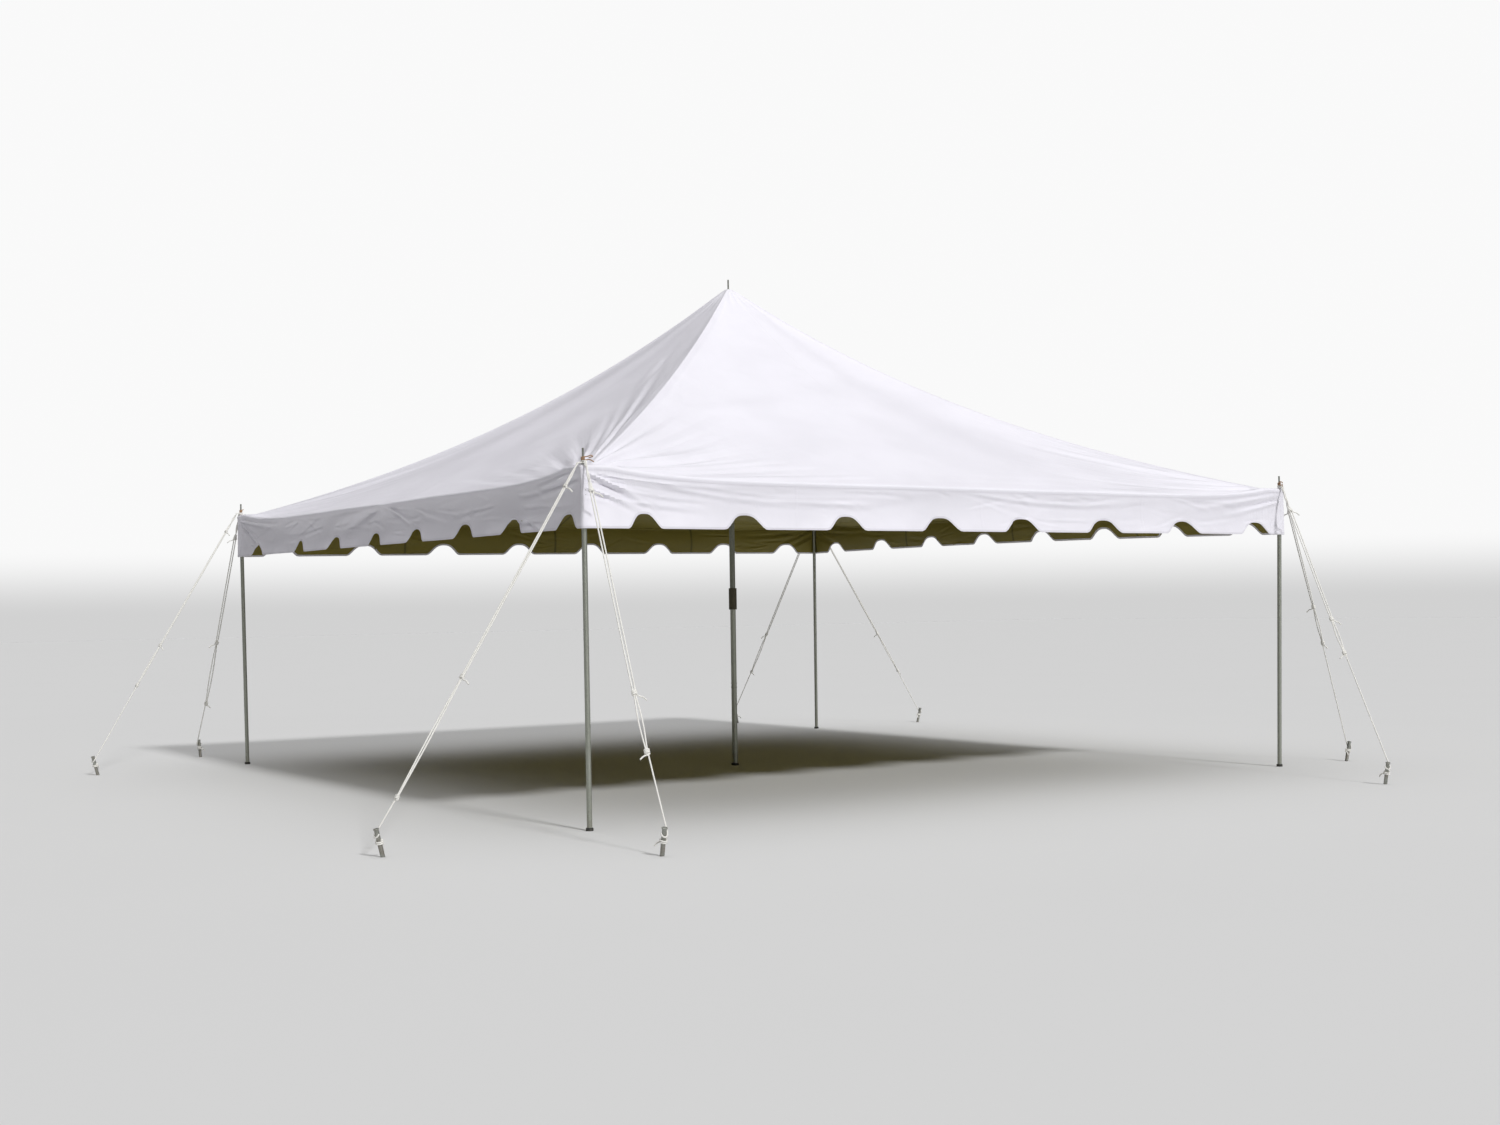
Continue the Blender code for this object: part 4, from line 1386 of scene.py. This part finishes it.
class TENT_OT_corners(bpy.types.Operator):
    """Model the doubled cloth at the corners, and the metal rings that the pins stand in"""

    bl_idname = "tent.corners"
    bl_label = "Corners and rings"

    def execute(self, context):
        cloth = context.scene.tent_cloth
        colours = context.scene.tent_colours
        outside = material("cloth_outside", cloth_material, colours.outside, 0.0, 0.45)
        metal = material("ring_steel", steel_material, tint(colours.steel, 1.1), 260.0, 0.1)
        for corner in CORNERS:
            over = patch_sheet("patch_over_" + corner, corner, PATCH_THICK + LAYER_GAP, cloth)
            under = patch_sheet("patch_under_" + corner, corner, -cloth.thickness - LAYER_GAP, cloth)
            patch = joined("patch_" + corner, [over, under])
            smooth(patch, 50.0)
            dress(patch, "patch", outside, replaces=["corner_patch_" + corner])
            pin = PIN_AT[corner]
            ring = rolled_ring("pin_ring_" + corner, (pin.x, pin.y, CORNER_TOP + 0.0030),
                               0.0105, 0.0030, 0.0016)
            dress(ring, "pin", metal)
        for i, height in enumerate(POLE_BANDS):
            band = rolled_ring("pole_band_%d" % i, (0.0, 0.0, height), 0.0241, 0.0012, 0.0040)
            dress(band, "pole", metal)
        ring = rolled_ring("crown_ring", (0.0, 0.0, PEAK + COLLAR_CLEAR + 0.0014),
                           0.0125, 0.0050, 0.0022)
        dress(ring, "pin", metal)
        return {"FINISHED"}


def studio_world():
    """A backdrop that rises from the floor's tone, and a soft light from above on the tent."""
    world = bpy.data.worlds.new("studio")
    world.use_nodes = True
    tree = world.node_tree
    link = tree.links.new
    place = tree.nodes.new("ShaderNodeTexCoord")
    axes = tree.nodes.new("ShaderNodeSeparateXYZ")
    path = tree.nodes.new("ShaderNodeLightPath")
    mix = tree.nodes.new("ShaderNodeMixShader")
    link(place.outputs["Generated"], axes.inputs[0])
    link(path.outputs["Is Camera Ray"], mix.inputs[0])
    for slot, (start, end, low, high) in ((1, SKY_LIGHT), (2, BACKDROP)):
        ramp = tree.nodes.new("ShaderNodeMapRange")
        ramp.interpolation_type = "SMOOTHSTEP" if slot == 2 else "LINEAR"
        for name, value in (("From Min", start), ("From Max", end), ("To Min", low),
                            ("To Max", high)):
            ramp.inputs[name].default_value = value
        glow = tree.nodes.new("ShaderNodeBackground")
        glow.inputs["Color"].default_value = (1.0, 1.0, 1.0, 1.0)
        link(axes.outputs["Z"], ramp.inputs["Value"])
        strength = ramp.outputs["Result"]
        if slot == 1:
            facing = tree.nodes.new("ShaderNodeVectorMath")
            facing.operation = "DOT_PRODUCT"
            facing.inputs[1].default_value = FRONT_GLOW[0]
            spot = tree.nodes.new("ShaderNodeMapRange")
            for name, value in zip(("From Min", "From Max", "To Min", "To Max"),
                                   (FRONT_GLOW[1], 1.0, 0.0, FRONT_GLOW[2])):
                spot.inputs[name].default_value = value
            both = tree.nodes.new("ShaderNodeMath")
            link(place.outputs["Generated"], facing.inputs[0])
            link(facing.outputs["Value"], spot.inputs["Value"])
            link(strength, both.inputs[0])
            link(spot.outputs["Result"], both.inputs[1])
            strength = both.outputs[0]
        link(strength, glow.inputs["Strength"])
        link(glow.outputs[0], mix.inputs[slot])
    link(mix.outputs[0], tree.nodes["World Output"].inputs["Surface"])
    return world


class TENT_OT_stage(bpy.types.Operator):
    """Set the floor, the soft lights and the camera of the photo"""

    bl_idname = "tent.stage"
    bl_label = "Stage"

    def execute(self, context):
        colours = context.scene.tent_colours
        scene = context.scene
        bpy.ops.object.select_all(action="DESELECT")
        bpy.ops.mesh.primitive_plane_add(size=160.0, location=(0.0, 0.0, -0.0005))
        floor = context.object
        floor.name = "floor"
        floor.data.materials.append(material("floor", floor_material, colours.floor))

        scene.world = studio_world()
        scene.view_settings.view_transform = "Standard"
        lamp = bpy.data.lights.new("key_light", "SUN")
        lamp.angle = math.radians(KEY_WIDTH)
        lamp.energy = KEY_STRENGTH
        light = bpy.data.objects.new("key_light", lamp)
        light.location = KEY_PLACE
        light.rotation_mode = "QUATERNION"
        light.rotation_quaternion = Vector(KEY_PLACE).to_track_quat("Z", "Y")
        scene.collection.objects.link(light)

        yaw, pitch, roll = CAMERA_YAW, CAMERA_PITCH, CAMERA_ROLL
        ahead = Vector((math.sin(yaw) * math.cos(pitch), math.cos(yaw) * math.cos(pitch),
                        math.sin(pitch)))
        right = Vector((math.cos(yaw), -math.sin(yaw), 0.0))
        up = right.cross(ahead)
        right, up = (right * math.cos(roll) + up * math.sin(roll),
                     up * math.cos(roll) - right * math.sin(roll))
        lens = bpy.data.cameras.new("camera")
        lens.sensor_width = 36.0
        lens.lens = CAMERA_FOCAL / PHOTO_WIDTH * lens.sensor_width
        lens.clip_end = 500.0
        camera = bpy.data.objects.new("camera", lens)
        turn = Matrix((right, up, -ahead)).transposed().to_4x4()
        camera.matrix_world = Matrix.Translation(CAMERA_PLACE) @ turn
        scene.collection.objects.link(camera)
        scene.camera = camera
        return {"FINISHED"}


class TENT_PT_panel(bpy.types.Panel):
    """The tent's sizes, colours and building steps"""

    bl_idname = "TENT_PT_panel"
    bl_label = "Marquee Tent"
    bl_space_type = "VIEW_3D"
    bl_region_type = "UI"
    bl_category = "Tent"

    def draw(self, context):
        layout = self.layout
        for group in (context.scene.tent_cloth, context.scene.tent_ropes,
                      context.scene.tent_colours):
            box = layout.box()
            for key in group.__annotations__:
                box.prop(group, key)
        for step in STEPS:
            layout.operator(step.bl_idname)


GROUPS = {"tent_cloth": TentCloth, "tent_ropes": TentRopes, "tent_colours": TentColours}
STEPS = (TENT_OT_canopy, TENT_OT_seams, TENT_OT_corners, TENT_OT_poles, TENT_OT_ropes,
         TENT_OT_stakes, TENT_OT_stage)


def register():
    for item in (*GROUPS.values(), *STEPS, TENT_PT_panel):
        bpy.utils.register_class(item)
    for name, group in GROUPS.items():
        setattr(bpy.types.Scene, name, bpy.props.PointerProperty(type=group))


def unregister():
    for name in GROUPS:
        delattr(bpy.types.Scene, name)
    for item in reversed((*GROUPS.values(), *STEPS, TENT_PT_panel)):
        bpy.utils.unregister_class(item)


def main():
    register()
    bpy.ops.tent.canopy()
    bpy.ops.tent.seams()
    bpy.ops.tent.corners()
    bpy.ops.tent.poles()
    bpy.ops.tent.ropes()
    bpy.ops.tent.stakes()
    bpy.ops.tent.stage()


if __name__ == "__main__":
    main()
